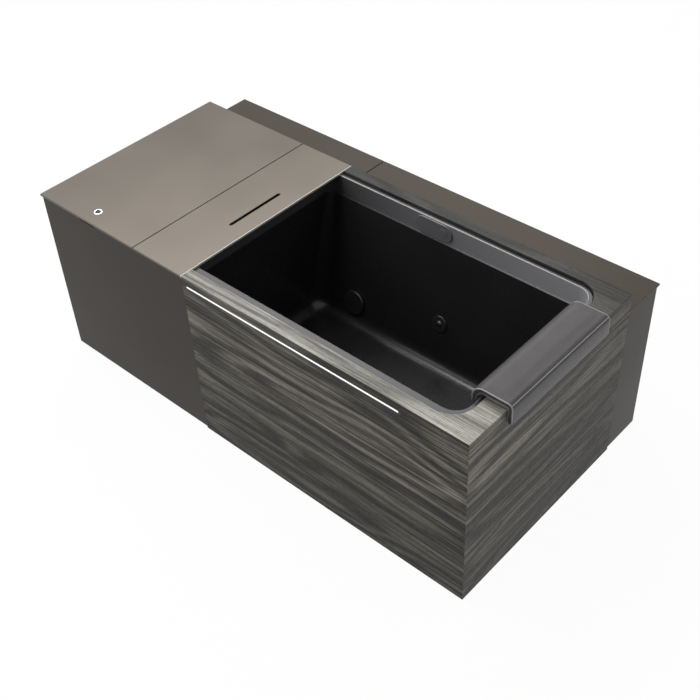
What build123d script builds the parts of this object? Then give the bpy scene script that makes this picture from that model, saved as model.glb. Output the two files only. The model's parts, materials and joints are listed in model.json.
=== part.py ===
from build123d import *
import math
import os

# Cold plunge tub: a clad steel frame with a moulded basin at the right, a metal equipment
# cabinet at the left and a lower service ledge along the back.
# Places are measured from the block's front left bottom corner, to the right, back and up.
# at() and block() turn them into the part's frame, whose origin is under the middle of it all.

# Driving dimensions of the block
BLOCK_LENGTH = 1900
BLOCK_DEPTH = 1000
DECK_TOP = 700
MAIN_DEPTH = 820
LEDGE_TOP = 630
WOOD_START = 745
LID_END = 505
HEADREST_OVERHANG = 22
SEAM = 1.5

# Frame and sheet stock
RAIL = 40
SMALL_POST = 30
TUBE_WALL = 2.5
SHEET = 2
FOLD = 22
PLATE = 8
PLATE_SKIN = 3
HEM = 14
BODY_INSET = 5
WOOD = 18
DECK = 20
PANEL_BOTTOM = 6
RAIL_BOTTOM = 20
FLOOR_RAIL_TOP = RAIL_BOTTOM + RAIL
CABINET_TOP = 690
PLATE_BOTTOM = DECK_TOP - PLATE
BACK_BOARD = 8
LEDGE_BACK = 955

# Basin, from its opening down to its floor
WALL = 8
FOAM = 12
FLANGE_TOP = 690
FLANGE = 10
COLLAR_STEP = 5
STEP_HEIGHT = 610
FLOOR_HEIGHT = 158
FLOOR_RADIUS = 52
MOUTH = {"left": 690, "right": 1807, "front": 77, "back": 762}
MOUTH_RADII = (35, 60)
BASE = {"left": 702, "right": 1660, "front": 189, "back": 650}
BASE_RADII = (75, 75)
FLANGE_EDGE = {"left": 676, "right": 1822, "front": 50, "back": 774}
FLANGE_RADII = (8, 77)
DECK_CUT = {"left": WOOD_START, "right": 1825, "front": 47, "back": 777}
DECK_CUT_RADIUS = 80

# Fittings seen in the basin
SUCTION_AT = (876, 232)
SUCTION_RADIUS = 48
SUCTION_HOLE = 28
JET_AT = (1261, 321)
JET_RADIUS = 31
JET_HOLE = 24
BALL_RADIUS = 17
CONTROL_AT = (1173, 650)
CONTROL_SIZE = (156, 68)
CONTROL_DEPTH = 6
CONTROL_BUTTON_AT = (1215, 651)
CONTROL_BUTTON_RADIUS = 15.5

# Lid, cover and headrest
HINGE_AT = (826, 686.5)
HINGE_PIN_RADIUS = 2.5
HINGE_KNUCKLE_RADIUS = 4
HINGE_CENTRES = (100, 404)
HINGE_LENGTH = 60
LATCH_AT = (252, 60)
SLOT_AT = (667, 412.5)
SLOT_SIZE = (12, 240)
NOTCH_WIDTH = 92
HEADREST_FRONT = 165
HEADREST_BACK = 655
HEADREST_TOP = 732

# Water circuit
PIPE_RADIUS = 16
PIPE_WALL = 2.5
PIPE_BEND = 34
SOCKET_RADIUS = 20
RUNNING_FIT = 0.05

LEFT = -(BLOCK_LENGTH + HEADREST_OVERHANG) / 2
FRONT = -BLOCK_DEPTH / 2

os.makedirs("parts", exist_ok=True)


def at(x, y):
    """A place on the plan, from the block's front left corner."""
    return (LEFT + x, FRONT + y)


def spot(x, y, z):
    """A place in space, from the block's front left bottom corner."""
    return (LEFT + x, FRONT + y, z)


def block(x, y, z, mode=Mode.ADD):
    """Adds a plain bar or sheet between pairs of limits."""
    with Locations(spot((x[0] + x[1]) / 2, (y[0] + y[1]) / 2, (z[0] + z[1]) / 2)):
        Box(x[1] - x[0], y[1] - y[0], z[1] - z[0], mode=mode)


def square_tube(x, y, z, run):
    """Adds a square tube whose bore follows the axis named by run."""
    block(x, y, z)
    limits = {"x": x, "y": y, "z": z}
    inner = {}
    for name, (low, high) in limits.items():
        inner[name] = (low, high) if name == run else (low + TUBE_WALL, high - TUBE_WALL)
    block(inner["x"], inner["y"], inner["z"], mode=Mode.SUBTRACT)


def rod(centre, direction, radius, length, mode=Mode.ADD):
    """Adds a round bar that starts at a place and runs in a direction."""
    with Locations(Plane(origin=centre, z_dir=direction).location):
        Cylinder(radius, length, align=(Align.CENTER, Align.CENTER, Align.MIN), mode=mode)


def rounded_outline(sides, radii, height):
    """A rectangle between four sides, with its own corner radius at each end."""
    with BuildSketch(Plane.XY.offset(height)) as outline:
        with Locations(at((sides["left"] + sides["right"]) / 2, (sides["front"] + sides["back"]) / 2)):
            Rectangle(sides["right"] - sides["left"], sides["back"] - sides["front"])
        fillet(outline.vertices().group_by(Axis.X)[0], radii[0])
        fillet(outline.vertices().group_by(Axis.X)[-1], radii[1])
    return outline.sketch


def grown(sides, growth):
    """The same four sides, moved out by a thickness."""
    return {
        "left": sides["left"] - growth,
        "right": sides["right"] + growth,
        "front": sides["front"] - growth,
        "back": sides["back"] + growth,
    }


def basin_sides(height):
    """The inner faces of the leaning walls at a height."""
    step = grown(MOUTH, -COLLAR_STEP)
    share = (height - FLOOR_HEIGHT) / (STEP_HEIGHT - FLOOR_HEIGHT)
    return {name: BASE[name] + (step[name] - BASE[name]) * share for name in BASE}


def basin_outline(height, growth):
    """Outline of the leaning walls at a height, grown by a thickness."""
    share = (height - FLOOR_HEIGHT) / (STEP_HEIGHT - FLOOR_HEIGHT)
    radii = []
    for low, high in zip(BASE_RADII, MOUTH_RADII):
        radii.append(low + (high - COLLAR_STEP - low) * share + growth)
    return rounded_outline(grown(basin_sides(height), growth), radii, height)


def basin_form(growth, top):
    """Solid that fills the leaning walls from the floor up, grown by a thickness."""
    with BuildPart() as form:
        loft([basin_outline(FLOOR_HEIGHT - growth, growth), basin_outline(top, growth)], ruled=True)
        fillet(form.faces().sort_by(Axis.Z)[0].edges(), FLOOR_RADIUS + growth)
    return form.part


def back_wall_plane(place):
    """Plane on the basin's leaning back wall, facing into the water."""
    x, z = place
    lean = math.atan2(MOUTH["back"] - COLLAR_STEP - BASE["back"], STEP_HEIGHT - FLOOR_HEIGHT)
    inward = (0, -math.cos(lean), math.sin(lean))
    return Plane(origin=spot(x, basin_sides(z)["back"], z), x_dir=(1, 0, 0), z_dir=inward)


def behind(plane, distance):
    """The place that lies a distance behind a wall plane."""
    return plane.origin - plane.z_dir * distance


def pipe(route):
    """A hollow pipe along straight runs joined by round bends."""
    with BuildPart() as run:
        with BuildLine() as path:
            if len(route) > 2:
                FilletPolyline(*route, radius=PIPE_BEND)
            else:
                Line(*route)
        with BuildSketch(Plane(origin=path.line @ 0, z_dir=path.line % 0)):
            Circle(PIPE_RADIUS)
            Circle(PIPE_RADIUS - PIPE_WALL, mode=Mode.SUBTRACT)
        sweep()
    return run.part


def save(piece, name):
    """Labels a finished piece and writes it."""
    piece.part.label = name
    export_step(piece.part, f"parts/{name}.step")


SUCTION_PLANE = back_wall_plane(SUCTION_AT)
JET_PLANE = back_wall_plane(JET_AT)

# Levelling feet: round pads with a nut, under the crossings of the floor rails
FOOT_RADIUS = 18
FOOT_PLACES = [at(x, y) for x in (27, 517, 1120, 1862) for y in (38, 792, 933)]
with BuildPart() as levelling_feet:
    with BuildSketch(Plane.XY):
        with Locations(FOOT_PLACES):
            Circle(FOOT_RADIUS)
    extrude(amount=12)
    chamfer(levelling_feet.edges().group_by(Axis.Z)[-1], 4)
    with BuildSketch(Plane.XY.offset(12)):
        with Locations(FOOT_PLACES):
            RegularPolygon(radius=11, side_count=6)
    extrude(amount=RAIL_BOTTOM - 12)
save(levelling_feet, "levelling_feet")

# Frame of square tube: long rails at the floor and the rim, cross rails, bearers and posts
CLAD_LEFT = BODY_INSET + SHEET
CLAD_RIGHT = BLOCK_LENGTH - WOOD
FRONT_RAIL = (WOOD, WOOD + RAIL)
BACK_RAIL = (MAIN_DEPTH - BACK_BOARD - RAIL, MAIN_DEPTH - BACK_BOARD)
LEDGE_RAIL = (LEDGE_BACK - SHEET - RAIL, LEDGE_BACK - SHEET)
FLOOR_RAIL = (RAIL_BOTTOM, FLOOR_RAIL_TOP)
RIM_LEFT = 615
RIM_RIGHT = MOUTH["right"] + WALL + 1
RIM_FRONT = (WOOD, MOUTH["front"] - WALL - 0.5)
RIM_BACK = (MOUTH["back"] + WALL + 0.5, MAIN_DEPTH - BACK_BOARD)
RIM_RAIL = (DECK_TOP - DECK - RAIL, DECK_TOP - DECK)
with BuildPart() as frame_long_rails:
    for rail in (FRONT_RAIL, BACK_RAIL, LEDGE_RAIL):
        square_tube((CLAD_LEFT, CLAD_RIGHT), rail, FLOOR_RAIL, "x")
    for rail in (RIM_FRONT, RIM_BACK):
        square_tube((RIM_LEFT, CLAD_RIGHT), rail, RIM_RAIL, "x")
save(frame_long_rails, "frame_long_rails")

CROSS_STARTS = (CLAD_LEFT, 497, 1100, CLAD_RIGHT - RAIL)
BEARER_STARTS = (790, 1170, 1540)
BEARER = (FLOOR_RAIL_TOP, FLOOR_HEIGHT - WALL - FOAM)
BRIDGE = (LID_END - SMALL_POST / 2, LID_END + SMALL_POST / 2)
BRIDGE_BOTTOM = CABINET_TOP - SMALL_POST
with BuildPart() as frame_cross_rails:
    for start in CROSS_STARTS:
        square_tube((start, start + RAIL), (FRONT_RAIL[1], BACK_RAIL[0]), FLOOR_RAIL, "y")
        square_tube((start, start + RAIL), (BACK_RAIL[1], LEDGE_RAIL[0]), FLOOR_RAIL, "y")
    for start in BEARER_STARTS:
        square_tube((start, start + RAIL), (FRONT_RAIL[0], BACK_RAIL[1]), BEARER, "y")
    square_tube((RIM_LEFT, RIM_LEFT + RAIL), (RIM_FRONT[1], RIM_BACK[0]), RIM_RAIL, "y")
    square_tube((RIM_RIGHT, CLAD_RIGHT), (RIM_FRONT[1], RIM_BACK[0]), RIM_RAIL, "y")
    square_tube(BRIDGE, (CLAD_LEFT + FOLD, MAIN_DEPTH - SHEET), (BRIDGE_BOTTOM, CABINET_TOP), "y")
save(frame_cross_rails, "frame_cross_rails")

POST_STARTS = (RIM_LEFT, 1100, CLAD_RIGHT - RAIL)
CABINET_POSTS = [
    (CLAD_LEFT, CLAD_LEFT),
    (CLAD_LEFT, MAIN_DEPTH - SHEET - SMALL_POST),
    (BRIDGE[0], CLAD_LEFT),
    (BRIDGE[0], MAIN_DEPTH - SHEET - SMALL_POST),
]
with BuildPart() as frame_posts:
    for start in POST_STARTS:
        for rail in (FRONT_RAIL, BACK_RAIL):
            square_tube((start, start + RAIL), rail, (FLOOR_RAIL_TOP, RIM_RAIL[0]), "z")
    for x, y in CABINET_POSTS:
        top = CABINET_TOP - SHEET if x == CLAD_LEFT else BRIDGE_BOTTOM
        square_tube((x, x + SMALL_POST), (y, y + SMALL_POST), (FLOOR_RAIL_TOP, top), "z")
save(frame_posts, "frame_posts")

# Tray that the equipment stands on, a folded sheet with drip holes
TRAY_X = (22, 612)
TRAY_Y = (64, 768)
TRAY_LIP = 16
TRAY_TOP = FLOOR_RAIL_TOP + SHEET
with BuildPart() as equipment_tray:
    block(TRAY_X, TRAY_Y, (FLOOR_RAIL_TOP, FLOOR_RAIL_TOP + TRAY_LIP))
    fillet(equipment_tray.edges().filter_by(Axis.Z), 10)
    offset(amount=-SHEET, openings=equipment_tray.faces().sort_by(Axis.Z)[-1])
    with Locations(spot(460, 140, FLOOR_RAIL_TOP)):
        with GridLocations(60, 60, 2, 2):
            Hole(4, depth=TRAY_LIP)
save(equipment_tray, "equipment_tray")

# Basin: leaning walls, a stepped upright collar and a flat flange, all in one moulding
hollow = basin_form(0, STEP_HEIGHT)
shell = basin_form(WALL, STEP_HEIGHT)
CONTROL_STEM_AT = (CONTROL_AT[0], 627)
CONTROL_STEM_RADIUS = 8
with BuildPart() as basin:
    add(shell)
    collar_radii = [radius + WALL for radius in MOUTH_RADII]
    extrude(rounded_outline(grown(MOUTH, WALL), collar_radii, STEP_HEIGHT - WALL),
            amount=FLANGE_TOP - STEP_HEIGHT + WALL)
    extrude(rounded_outline(FLANGE_EDGE, FLANGE_RADII, FLANGE_TOP - FLANGE), amount=FLANGE)
    add(hollow, mode=Mode.SUBTRACT)
    extrude(rounded_outline(MOUTH, MOUTH_RADII, STEP_HEIGHT),
            amount=FLANGE_TOP - STEP_HEIGHT, mode=Mode.SUBTRACT)
    arris = basin.faces().sort_by(Axis.Z)[-1].inner_wires()[0].edges()
    fillet(arris, 4)
    rod(SUCTION_PLANE.origin, -SUCTION_PLANE.z_dir, SUCTION_HOLE, 3 * WALL, mode=Mode.SUBTRACT)
    rod(JET_PLANE.origin, -JET_PLANE.z_dir, JET_HOLE, 3 * WALL, mode=Mode.SUBTRACT)
    rod(spot(CONTROL_STEM_AT[0], MOUTH["back"] - 1, CONTROL_STEM_AT[1]), (0, 1, 0),
        CONTROL_STEM_RADIUS, 2 * WALL, mode=Mode.SUBTRACT)
save(basin, "basin")

# Foam jacket bonded under the basin, cut away round the wall fittings
FITTING_CLEARANCE = 45
JACKET_TOP = 570
jacket_form = basin_form(WALL + FOAM, JACKET_TOP)
with BuildPart() as basin_insulation:
    add(jacket_form)
    add(basin_form(WALL, STEP_HEIGHT), mode=Mode.SUBTRACT)
    for plane in (SUCTION_PLANE, JET_PLANE):
        rod(behind(plane, 2), -plane.z_dir, FITTING_CLEARANCE, 60, mode=Mode.SUBTRACT)
save(basin_insulation, "basin_insulation")

# Wood cladding: front, end and deck boards meet in mitres, with a groove for the light
GROOVE = {"left": 758, "right": 1660, "bottom": 655, "top": 671}
GROOVE_DEPTH = 10
WOOD_TOP = DECK_TOP - DECK


def groove_outline(inset):
    """Round-ended outline of the light's groove on the front face."""
    length = GROOVE["right"] - GROOVE["left"] - 2 * inset
    height = GROOVE["top"] - GROOVE["bottom"] - 2 * inset
    middle = (LEFT + (GROOVE["left"] + GROOVE["right"]) / 2, (GROOVE["bottom"] + GROOVE["top"]) / 2)
    with BuildSketch(Plane.XZ.offset(-FRONT)) as outline:
        with Locations(middle):
            SlotOverall(length, height)
    return outline.sketch


EDGE = 0.8
MITRE_TOP = DECK_TOP - EDGE
BIG_STEP = WOOD + 1


def mitre_outline(under):
    """What a mitre line takes away, as places measured inwards from the outer face and up."""
    if under:
        return [(-1, MITRE_TOP + 1), (WOOD, MITRE_TOP - WOOD), (WOOD, WOOD_TOP - 1), (-1, WOOD_TOP - 1)]
    return [(-1, MITRE_TOP + 1), (BIG_STEP, MITRE_TOP - BIG_STEP), (BIG_STEP, DECK_TOP + 1), (-1, DECK_TOP + 1)]


def cut_front_mitre(under):
    """Cuts the long mitre along the front."""
    with BuildSketch(Plane.YZ.offset(LEFT + WOOD_START)) as waste:
        with BuildLine():
            Polyline(*[(FRONT + inwards, height) for inwards, height in mitre_outline(under)], close=True)
        make_face()
    extrude(waste.sketch, amount=BLOCK_LENGTH, mode=Mode.SUBTRACT)


def cut_end_mitre(under):
    """Cuts the short mitre along the right end."""
    outer = LEFT + BLOCK_LENGTH
    with BuildSketch(Plane.XZ.offset(-FRONT + 1)) as waste:
        with BuildLine():
            Polyline(*[(outer - inwards, height) for inwards, height in mitre_outline(under)], close=True)
        make_face()
    extrude(waste.sketch, amount=-BLOCK_DEPTH, mode=Mode.SUBTRACT)


with BuildPart() as wood_front_panel:
    with BuildSketch(Plane.XY.offset(PANEL_BOTTOM)):
        with BuildLine():
            Polyline(
                at(WOOD_START + SEAM, 0),
                at(BLOCK_LENGTH, 0),
                at(CLAD_RIGHT, WOOD),
                at(WOOD_START + SEAM, WOOD),
                close=True,
            )
        make_face()
    extrude(amount=DECK_TOP - PANEL_BOTTOM)
    cut_front_mitre(under=False)
    extrude(groove_outline(0), amount=-GROOVE_DEPTH, mode=Mode.SUBTRACT)
save(wood_front_panel, "wood_front_panel")

with BuildPart() as wood_end_panel:
    with BuildSketch(Plane.XY.offset(PANEL_BOTTOM)):
        with BuildLine():
            Polyline(
                at(BLOCK_LENGTH, 0),
                at(BLOCK_LENGTH, MAIN_DEPTH),
                at(CLAD_RIGHT, MAIN_DEPTH),
                at(CLAD_RIGHT, WOOD),
                close=True,
            )
        make_face()
    extrude(amount=DECK_TOP - PANEL_BOTTOM)
    cut_end_mitre(under=False)
save(wood_end_panel, "wood_end_panel")

# Deck: one board round three sides of the basin, open towards the cabinet
with BuildPart() as deck_panel:
    block((WOOD_START + SEAM, BLOCK_LENGTH), (0, MAIN_DEPTH), (WOOD_TOP, DECK_TOP))
    chamfer(deck_panel.faces().sort_by(Axis.Z)[-1].edges(), EDGE)
    extrude(rounded_outline(DECK_CUT, (0.5, DECK_CUT_RADIUS), WOOD_TOP), amount=DECK, mode=Mode.SUBTRACT)
    inside = deck_panel.faces().sort_by(Axis.Z)[-1].edges().filter_by(
        lambda edge: LEFT + WOOD_START + 3 < edge.center().X < LEFT + DECK_CUT["right"] + 5
        and DECK_CUT["front"] - 5 < edge.center().Y - FRONT < DECK_CUT["back"] + 5)
    chamfer(inside, EDGE)
    cut_front_mitre(under=True)
    cut_end_mitre(under=True)
save(deck_panel, "deck_panel")

# Light strip: a black channel in the groove, with a lens above its lower lip
LENS = {"left": 766, "right": 1652, "bottom": 661, "top": 669}
LENS_DEPTH = 7


def lens_outline(gap):
    """Round-ended outline of the lens on the front face."""
    middle = (LEFT + (LENS["left"] + LENS["right"]) / 2, (LENS["bottom"] + LENS["top"]) / 2)
    with BuildSketch(Plane.XZ.offset(-FRONT)) as outline:
        with Locations(middle):
            SlotOverall(LENS["right"] - LENS["left"] + 2 * gap, LENS["top"] - LENS["bottom"] + 2 * gap)
    return outline.sketch


with BuildPart() as light_channel:
    extrude(groove_outline(0), amount=-GROOVE_DEPTH)
    extrude(lens_outline(0), amount=-LENS_DEPTH, mode=Mode.SUBTRACT)
save(light_channel, "light_channel")

with BuildPart() as light_lens:
    extrude(lens_outline(0), amount=-LENS_DEPTH)
    chamfer(light_lens.faces().sort_by(Axis.Y)[0].edges(), 0.8)
save(light_lens, "light_lens")

# Cabinet front: folded sheet with a finger notch under the lid
CABINET_MIDDLE = (PANEL_BOTTOM + CABINET_TOP) / 2
CABINET_HEIGHT = CABINET_TOP - PANEL_BOTTOM
with BuildPart() as cabinet_front_panel:
    with BuildSketch(Plane.YZ.offset(LEFT + BODY_INSET)):
        with Locations((FRONT + BODY_INSET + FOLD / 2, CABINET_MIDDLE)):
            Rectangle(FOLD, CABINET_HEIGHT)
        with Locations((FRONT + BODY_INSET + SHEET + FOLD / 2, CABINET_MIDDLE - SHEET)):
            Rectangle(FOLD, CABINET_HEIGHT, mode=Mode.SUBTRACT)
    extrude(amount=WOOD_START - BODY_INSET)
    with BuildSketch(Plane.XZ.offset(-FRONT)):
        with Locations((LEFT + LATCH_AT[0], CABINET_TOP)):
            SlotOverall(NOTCH_WIDTH, 18)
    extrude(amount=-2 * FOLD, mode=Mode.SUBTRACT)
    block((BODY_INSET, CLAD_LEFT), (CLAD_LEFT, BODY_INSET + FOLD), (PANEL_BOTTOM, CABINET_TOP),
          mode=Mode.SUBTRACT)
save(cabinet_front_panel, "cabinet_front_panel")

# Cabinet left side: folded sheet with a column of hooded louvres
LOUVRE_LENGTH = 300
LOUVRE_PITCH = 28
LOUVRE_COUNT = 11
LOUVRE_START = 134
LOUVRE_MIDDLE = 590
with BuildPart() as cabinet_left_panel:
    with BuildSketch(Plane.XZ.offset(-FRONT - CLAD_LEFT)):
        with Locations((LEFT + BODY_INSET + FOLD / 2, CABINET_MIDDLE)):
            Rectangle(FOLD, CABINET_HEIGHT)
        with Locations((LEFT + BODY_INSET + SHEET + FOLD / 2, CABINET_MIDDLE - SHEET)):
            Rectangle(FOLD, CABINET_HEIGHT, mode=Mode.SUBTRACT)
    extrude(amount=-(MAIN_DEPTH - CLAD_LEFT))
    block((BODY_INSET + SHEET, BODY_INSET + FOLD + 1), (CLAD_LEFT - 1, BODY_INSET + FOLD),
          (PANEL_BOTTOM - 1, CABINET_TOP + 1), mode=Mode.SUBTRACT)
    for number in range(LOUVRE_COUNT):
        foot = LOUVRE_START + number * LOUVRE_PITCH
        with BuildSketch(Plane.XZ.offset(-FRONT - LOUVRE_MIDDLE + LOUVRE_LENGTH / 2)):
            with BuildLine():
                Polyline(
                    (LEFT + BODY_INSET, foot + 16),
                    (LEFT + BODY_INSET - 4, foot + 2),
                    (LEFT + BODY_INSET - 4, foot),
                    (LEFT + BODY_INSET - 2.6, foot),
                    (LEFT + BODY_INSET, foot + 10),
                    close=True,
                )
            make_face()
        extrude(amount=-LOUVRE_LENGTH)
        block((BODY_INSET - 1, BODY_INSET + SHEET + 1),
              (LOUVRE_MIDDLE - LOUVRE_LENGTH / 2 + 4, LOUVRE_MIDDLE + LOUVRE_LENGTH / 2 - 4),
              (foot + 1, foot + 9), mode=Mode.SUBTRACT)
save(cabinet_left_panel, "cabinet_left_panel")

# Back boards between the main block and the ledge, with a hole for the drain pipe
DRAIN_X = 465
DRAIN_Z = behind(SUCTION_PLANE, 58).Z
with BuildPart() as cabinet_back_panel:
    block((CLAD_LEFT, WOOD_START), (MAIN_DEPTH - SHEET, MAIN_DEPTH), (FLOOR_RAIL_TOP, CABINET_TOP - SHEET))
    rod(spot(DRAIN_X, MAIN_DEPTH - 10, DRAIN_Z), (0, 1, 0), SOCKET_RADIUS, 20, mode=Mode.SUBTRACT)
save(cabinet_back_panel, "cabinet_back_panel")

with BuildPart() as tub_back_panel:
    block((WOOD_START + SEAM, CLAD_RIGHT), (MAIN_DEPTH - BACK_BOARD, MAIN_DEPTH), (FLOOR_RAIL_TOP, WOOD_TOP))
save(tub_back_panel, "tub_back_panel")


def hemmed_plate(piece, x, y, top):
    """Adds a sheet plate with a hem turned down along every edge."""
    block(x, y, (top - PLATE, top))
    chamfer(piece.faces().sort_by(Axis.Z)[-1].edges(), 1)
    block((x[0] + HEM, x[1] - HEM), (y[0] + HEM, y[1] - HEM), (top - PLATE, top - PLATE_SKIN), mode=Mode.SUBTRACT)


# Ledge: hemmed top plates on end panels, back panels and gussets
with BuildPart() as ledge_top_left:
    hemmed_plate(ledge_top_left, (0, WOOD_START - SEAM), (MAIN_DEPTH, BLOCK_DEPTH), LEDGE_TOP)
save(ledge_top_left, "ledge_top_left")

with BuildPart() as ledge_top_right:
    hemmed_plate(ledge_top_right, (WOOD_START + SEAM, BLOCK_LENGTH), (MAIN_DEPTH, BLOCK_DEPTH), LEDGE_TOP)
save(ledge_top_right, "ledge_top_right")

LEDGE_PLATE_BOTTOM = LEDGE_TOP - PLATE
LEDGE_END_BACK = BLOCK_DEPTH - BODY_INSET
LEDGE_RIGHT = BLOCK_LENGTH - BODY_INSET
with BuildPart() as ledge_end_panels:
    for outside, inside, fold in (
        (BODY_INSET, CLAD_LEFT, CLAD_LEFT + FOLD),
        (LEDGE_RIGHT, LEDGE_RIGHT - SHEET, CLAD_RIGHT - SHEET),
    ):
        block((min(outside, inside), max(outside, inside)), (MAIN_DEPTH, LEDGE_END_BACK),
              (PANEL_BOTTOM, LEDGE_PLATE_BOTTOM))
        block((min(inside, fold), max(inside, fold)), (MAIN_DEPTH, LEDGE_END_BACK),
              (LEDGE_PLATE_BOTTOM - SHEET, LEDGE_PLATE_BOTTOM))
save(ledge_end_panels, "ledge_end_panels")

GLAND_X = 300
GLAND_HOLE = 10
LEDGE_BACK_TOP = LEDGE_PLATE_BOTTOM - SHEET
LEDGE_BACK_SPANS = ((CLAD_LEFT, WOOD_START - SEAM), (WOOD_START + SEAM, LEDGE_RIGHT - SHEET))
LEDGE_VENT_AT = (200, 420)
with BuildPart() as ledge_back_panels:
    for span in LEDGE_BACK_SPANS:
        block(span, (LEDGE_BACK - SHEET, LEDGE_BACK), (PANEL_BOTTOM, LEDGE_BACK_TOP))
    with BuildSketch(Plane.XZ.offset(-FRONT - LEDGE_BACK)):
        with Locations((LEFT + LEDGE_VENT_AT[0], LEDGE_VENT_AT[1])):
            with GridLocations(0, 24, 1, 9):
                SlotOverall(260, 8)
    extrude(amount=20, both=True, mode=Mode.SUBTRACT)
    rod(spot(DRAIN_X, LEDGE_BACK - 10, DRAIN_Z), (0, 1, 0), PIPE_RADIUS + 1, 20, mode=Mode.SUBTRACT)
    rod(spot(GLAND_X, LEDGE_BACK - 10, DRAIN_Z), (0, 1, 0), GLAND_HOLE, 20, mode=Mode.SUBTRACT)
save(ledge_back_panels, "ledge_back_panels")

# Button-head screws round the edges of the ledge's back panels
SCREW_INSET = 14
SCREW_ROWS = (PANEL_BOTTOM + 44, 314, LEDGE_BACK_TOP - SCREW_INSET)
with BuildPart() as panel_screws:
    with BuildSketch(Plane.XZ.offset(-FRONT - LEDGE_BACK)):
        for span in LEDGE_BACK_SPANS:
            for x in (span[0] + SCREW_INSET, sum(span) / 2, span[1] - SCREW_INSET):
                with Locations(*[(LEFT + x, z) for z in SCREW_ROWS]):
                    Circle(5)
                    RegularPolygon(radius=2, side_count=6, mode=Mode.SUBTRACT)
    extrude(amount=-2.5)
save(panel_screws, "panel_screws")

GUSSET_PLACES = (60, 372, 684, 800, 1160, 1500, 1840)
GUSSET = 4
with BuildPart() as ledge_gussets:
    for place in GUSSET_PLACES:
        with BuildSketch(Plane.YZ.offset(LEFT + place)):
            with BuildLine():
                Polyline(
                    (FRONT + MAIN_DEPTH, LEDGE_PLATE_BOTTOM - SHEET),
                    (FRONT + LEDGE_BACK - SHEET, LEDGE_PLATE_BOTTOM - SHEET),
                    (FRONT + LEDGE_BACK - SHEET, LEDGE_PLATE_BOTTOM - 20),
                    (FRONT + MAIN_DEPTH, LEDGE_PLATE_BOTTOM - 110),
                    close=True,
                )
            make_face()
        extrude(amount=GUSSET)
        block((place, place + FOLD), (MAIN_DEPTH, LEDGE_BACK),
              (LEDGE_PLATE_BOTTOM - SHEET, LEDGE_PLATE_BOTTOM))
save(ledge_gussets, "ledge_gussets")

# Equipment lid: hemmed plate with solid bosses at its hinges and a hole for its button
LID = (0, LID_END - SEAM)
LATCH_HOLE = 12.5
with BuildPart() as equipment_lid:
    hemmed_plate(equipment_lid, LID, (0, MAIN_DEPTH), DECK_TOP)
    for centre in HINGE_CENTRES:
        block((centre - HINGE_LENGTH / 2, centre + HINGE_LENGTH / 2), (MAIN_DEPTH - 56, MAIN_DEPTH - HEM),
              (PLATE_BOTTOM, DECK_TOP - PLATE_SKIN))
    rod(spot(*LATCH_AT, PLATE_BOTTOM), (0, 0, 1), LATCH_HOLE, 2 * PLATE, mode=Mode.SUBTRACT)
save(equipment_lid, "equipment_lid")

STIFFENER_STARTS = (150, 325)
with BuildPart() as lid_stiffeners:
    for start in STIFFENER_STARTS:
        with BuildSketch(Plane.XZ.offset(-FRONT - 40)):
            with BuildLine():
                Polyline(
                    (LEFT + start, DECK_TOP - PLATE_SKIN),
                    (LEFT + start, DECK_TOP - PLATE_SKIN - SHEET),
                    (LEFT + start + 10, DECK_TOP - PLATE_SKIN - SHEET),
                    (LEFT + start + 10, DECK_TOP - 16),
                    (LEFT + start + 30, DECK_TOP - 16),
                    (LEFT + start + 30, DECK_TOP - PLATE_SKIN - SHEET),
                    (LEFT + start + 40, DECK_TOP - PLATE_SKIN - SHEET),
                    (LEFT + start + 40, DECK_TOP - PLATE_SKIN),
                    (LEFT + start + 28, DECK_TOP - PLATE_SKIN),
                    (LEFT + start + 28, DECK_TOP - 14),
                    (LEFT + start + 12, DECK_TOP - 14),
                    (LEFT + start + 12, DECK_TOP - PLATE_SKIN),
                    close=True,
                )
            make_face()
        extrude(amount=-680)
save(lid_stiffeners, "lid_stiffeners")

# Hinges: leaves with rolled knuckles, on a plain pin each
KNUCKLE_GAP = 0.5
KNUCKLE = HINGE_LENGTH / 3
LEAF_ROOT = 2.8
HINGE_Y, HINGE_Z = HINGE_AT


def knuckle(start, length):
    """Adds one rolled knuckle with its bore, along the hinge line."""
    rod(spot(start, HINGE_Y, HINGE_Z), (1, 0, 0), HINGE_KNUCKLE_RADIUS, length)
    rod(spot(start - 1, HINGE_Y, HINGE_Z), (1, 0, 0), HINGE_PIN_RADIUS + RUNNING_FIT, length + 2, mode=Mode.SUBTRACT)


with BuildPart() as hinge_frame_leaves:
    for centre in HINGE_CENTRES:
        start = centre - HINGE_LENGTH / 2
        block((start, start + HINGE_LENGTH), (MAIN_DEPTH, MAIN_DEPTH + SHEET), (646, HINGE_Z - HINGE_KNUCKLE_RADIUS - 1))
        for offset_x in (0, 2 * KNUCKLE):
            block((start + offset_x, start + offset_x + KNUCKLE), (MAIN_DEPTH, MAIN_DEPTH + LEAF_ROOT),
                  (HINGE_Z - HINGE_KNUCKLE_RADIUS - 1, HINGE_Z))
            knuckle(start + offset_x, KNUCKLE)
save(hinge_frame_leaves, "hinge_frame_leaves")

with BuildPart() as hinge_lid_leaves:
    for centre in HINGE_CENTRES:
        start = centre - HINGE_LENGTH / 2
        middle = start + KNUCKLE + KNUCKLE_GAP
        block((start, start + HINGE_LENGTH), (MAIN_DEPTH - 50, MAIN_DEPTH), (CABINET_TOP, PLATE_BOTTOM))
        block((middle, middle + KNUCKLE - 2 * KNUCKLE_GAP), (MAIN_DEPTH, HINGE_Y), (HINGE_Z + 2.8, PLATE_BOTTOM))
        knuckle(middle, KNUCKLE - 2 * KNUCKLE_GAP)
save(hinge_lid_leaves, "hinge_lid_leaves")

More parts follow.
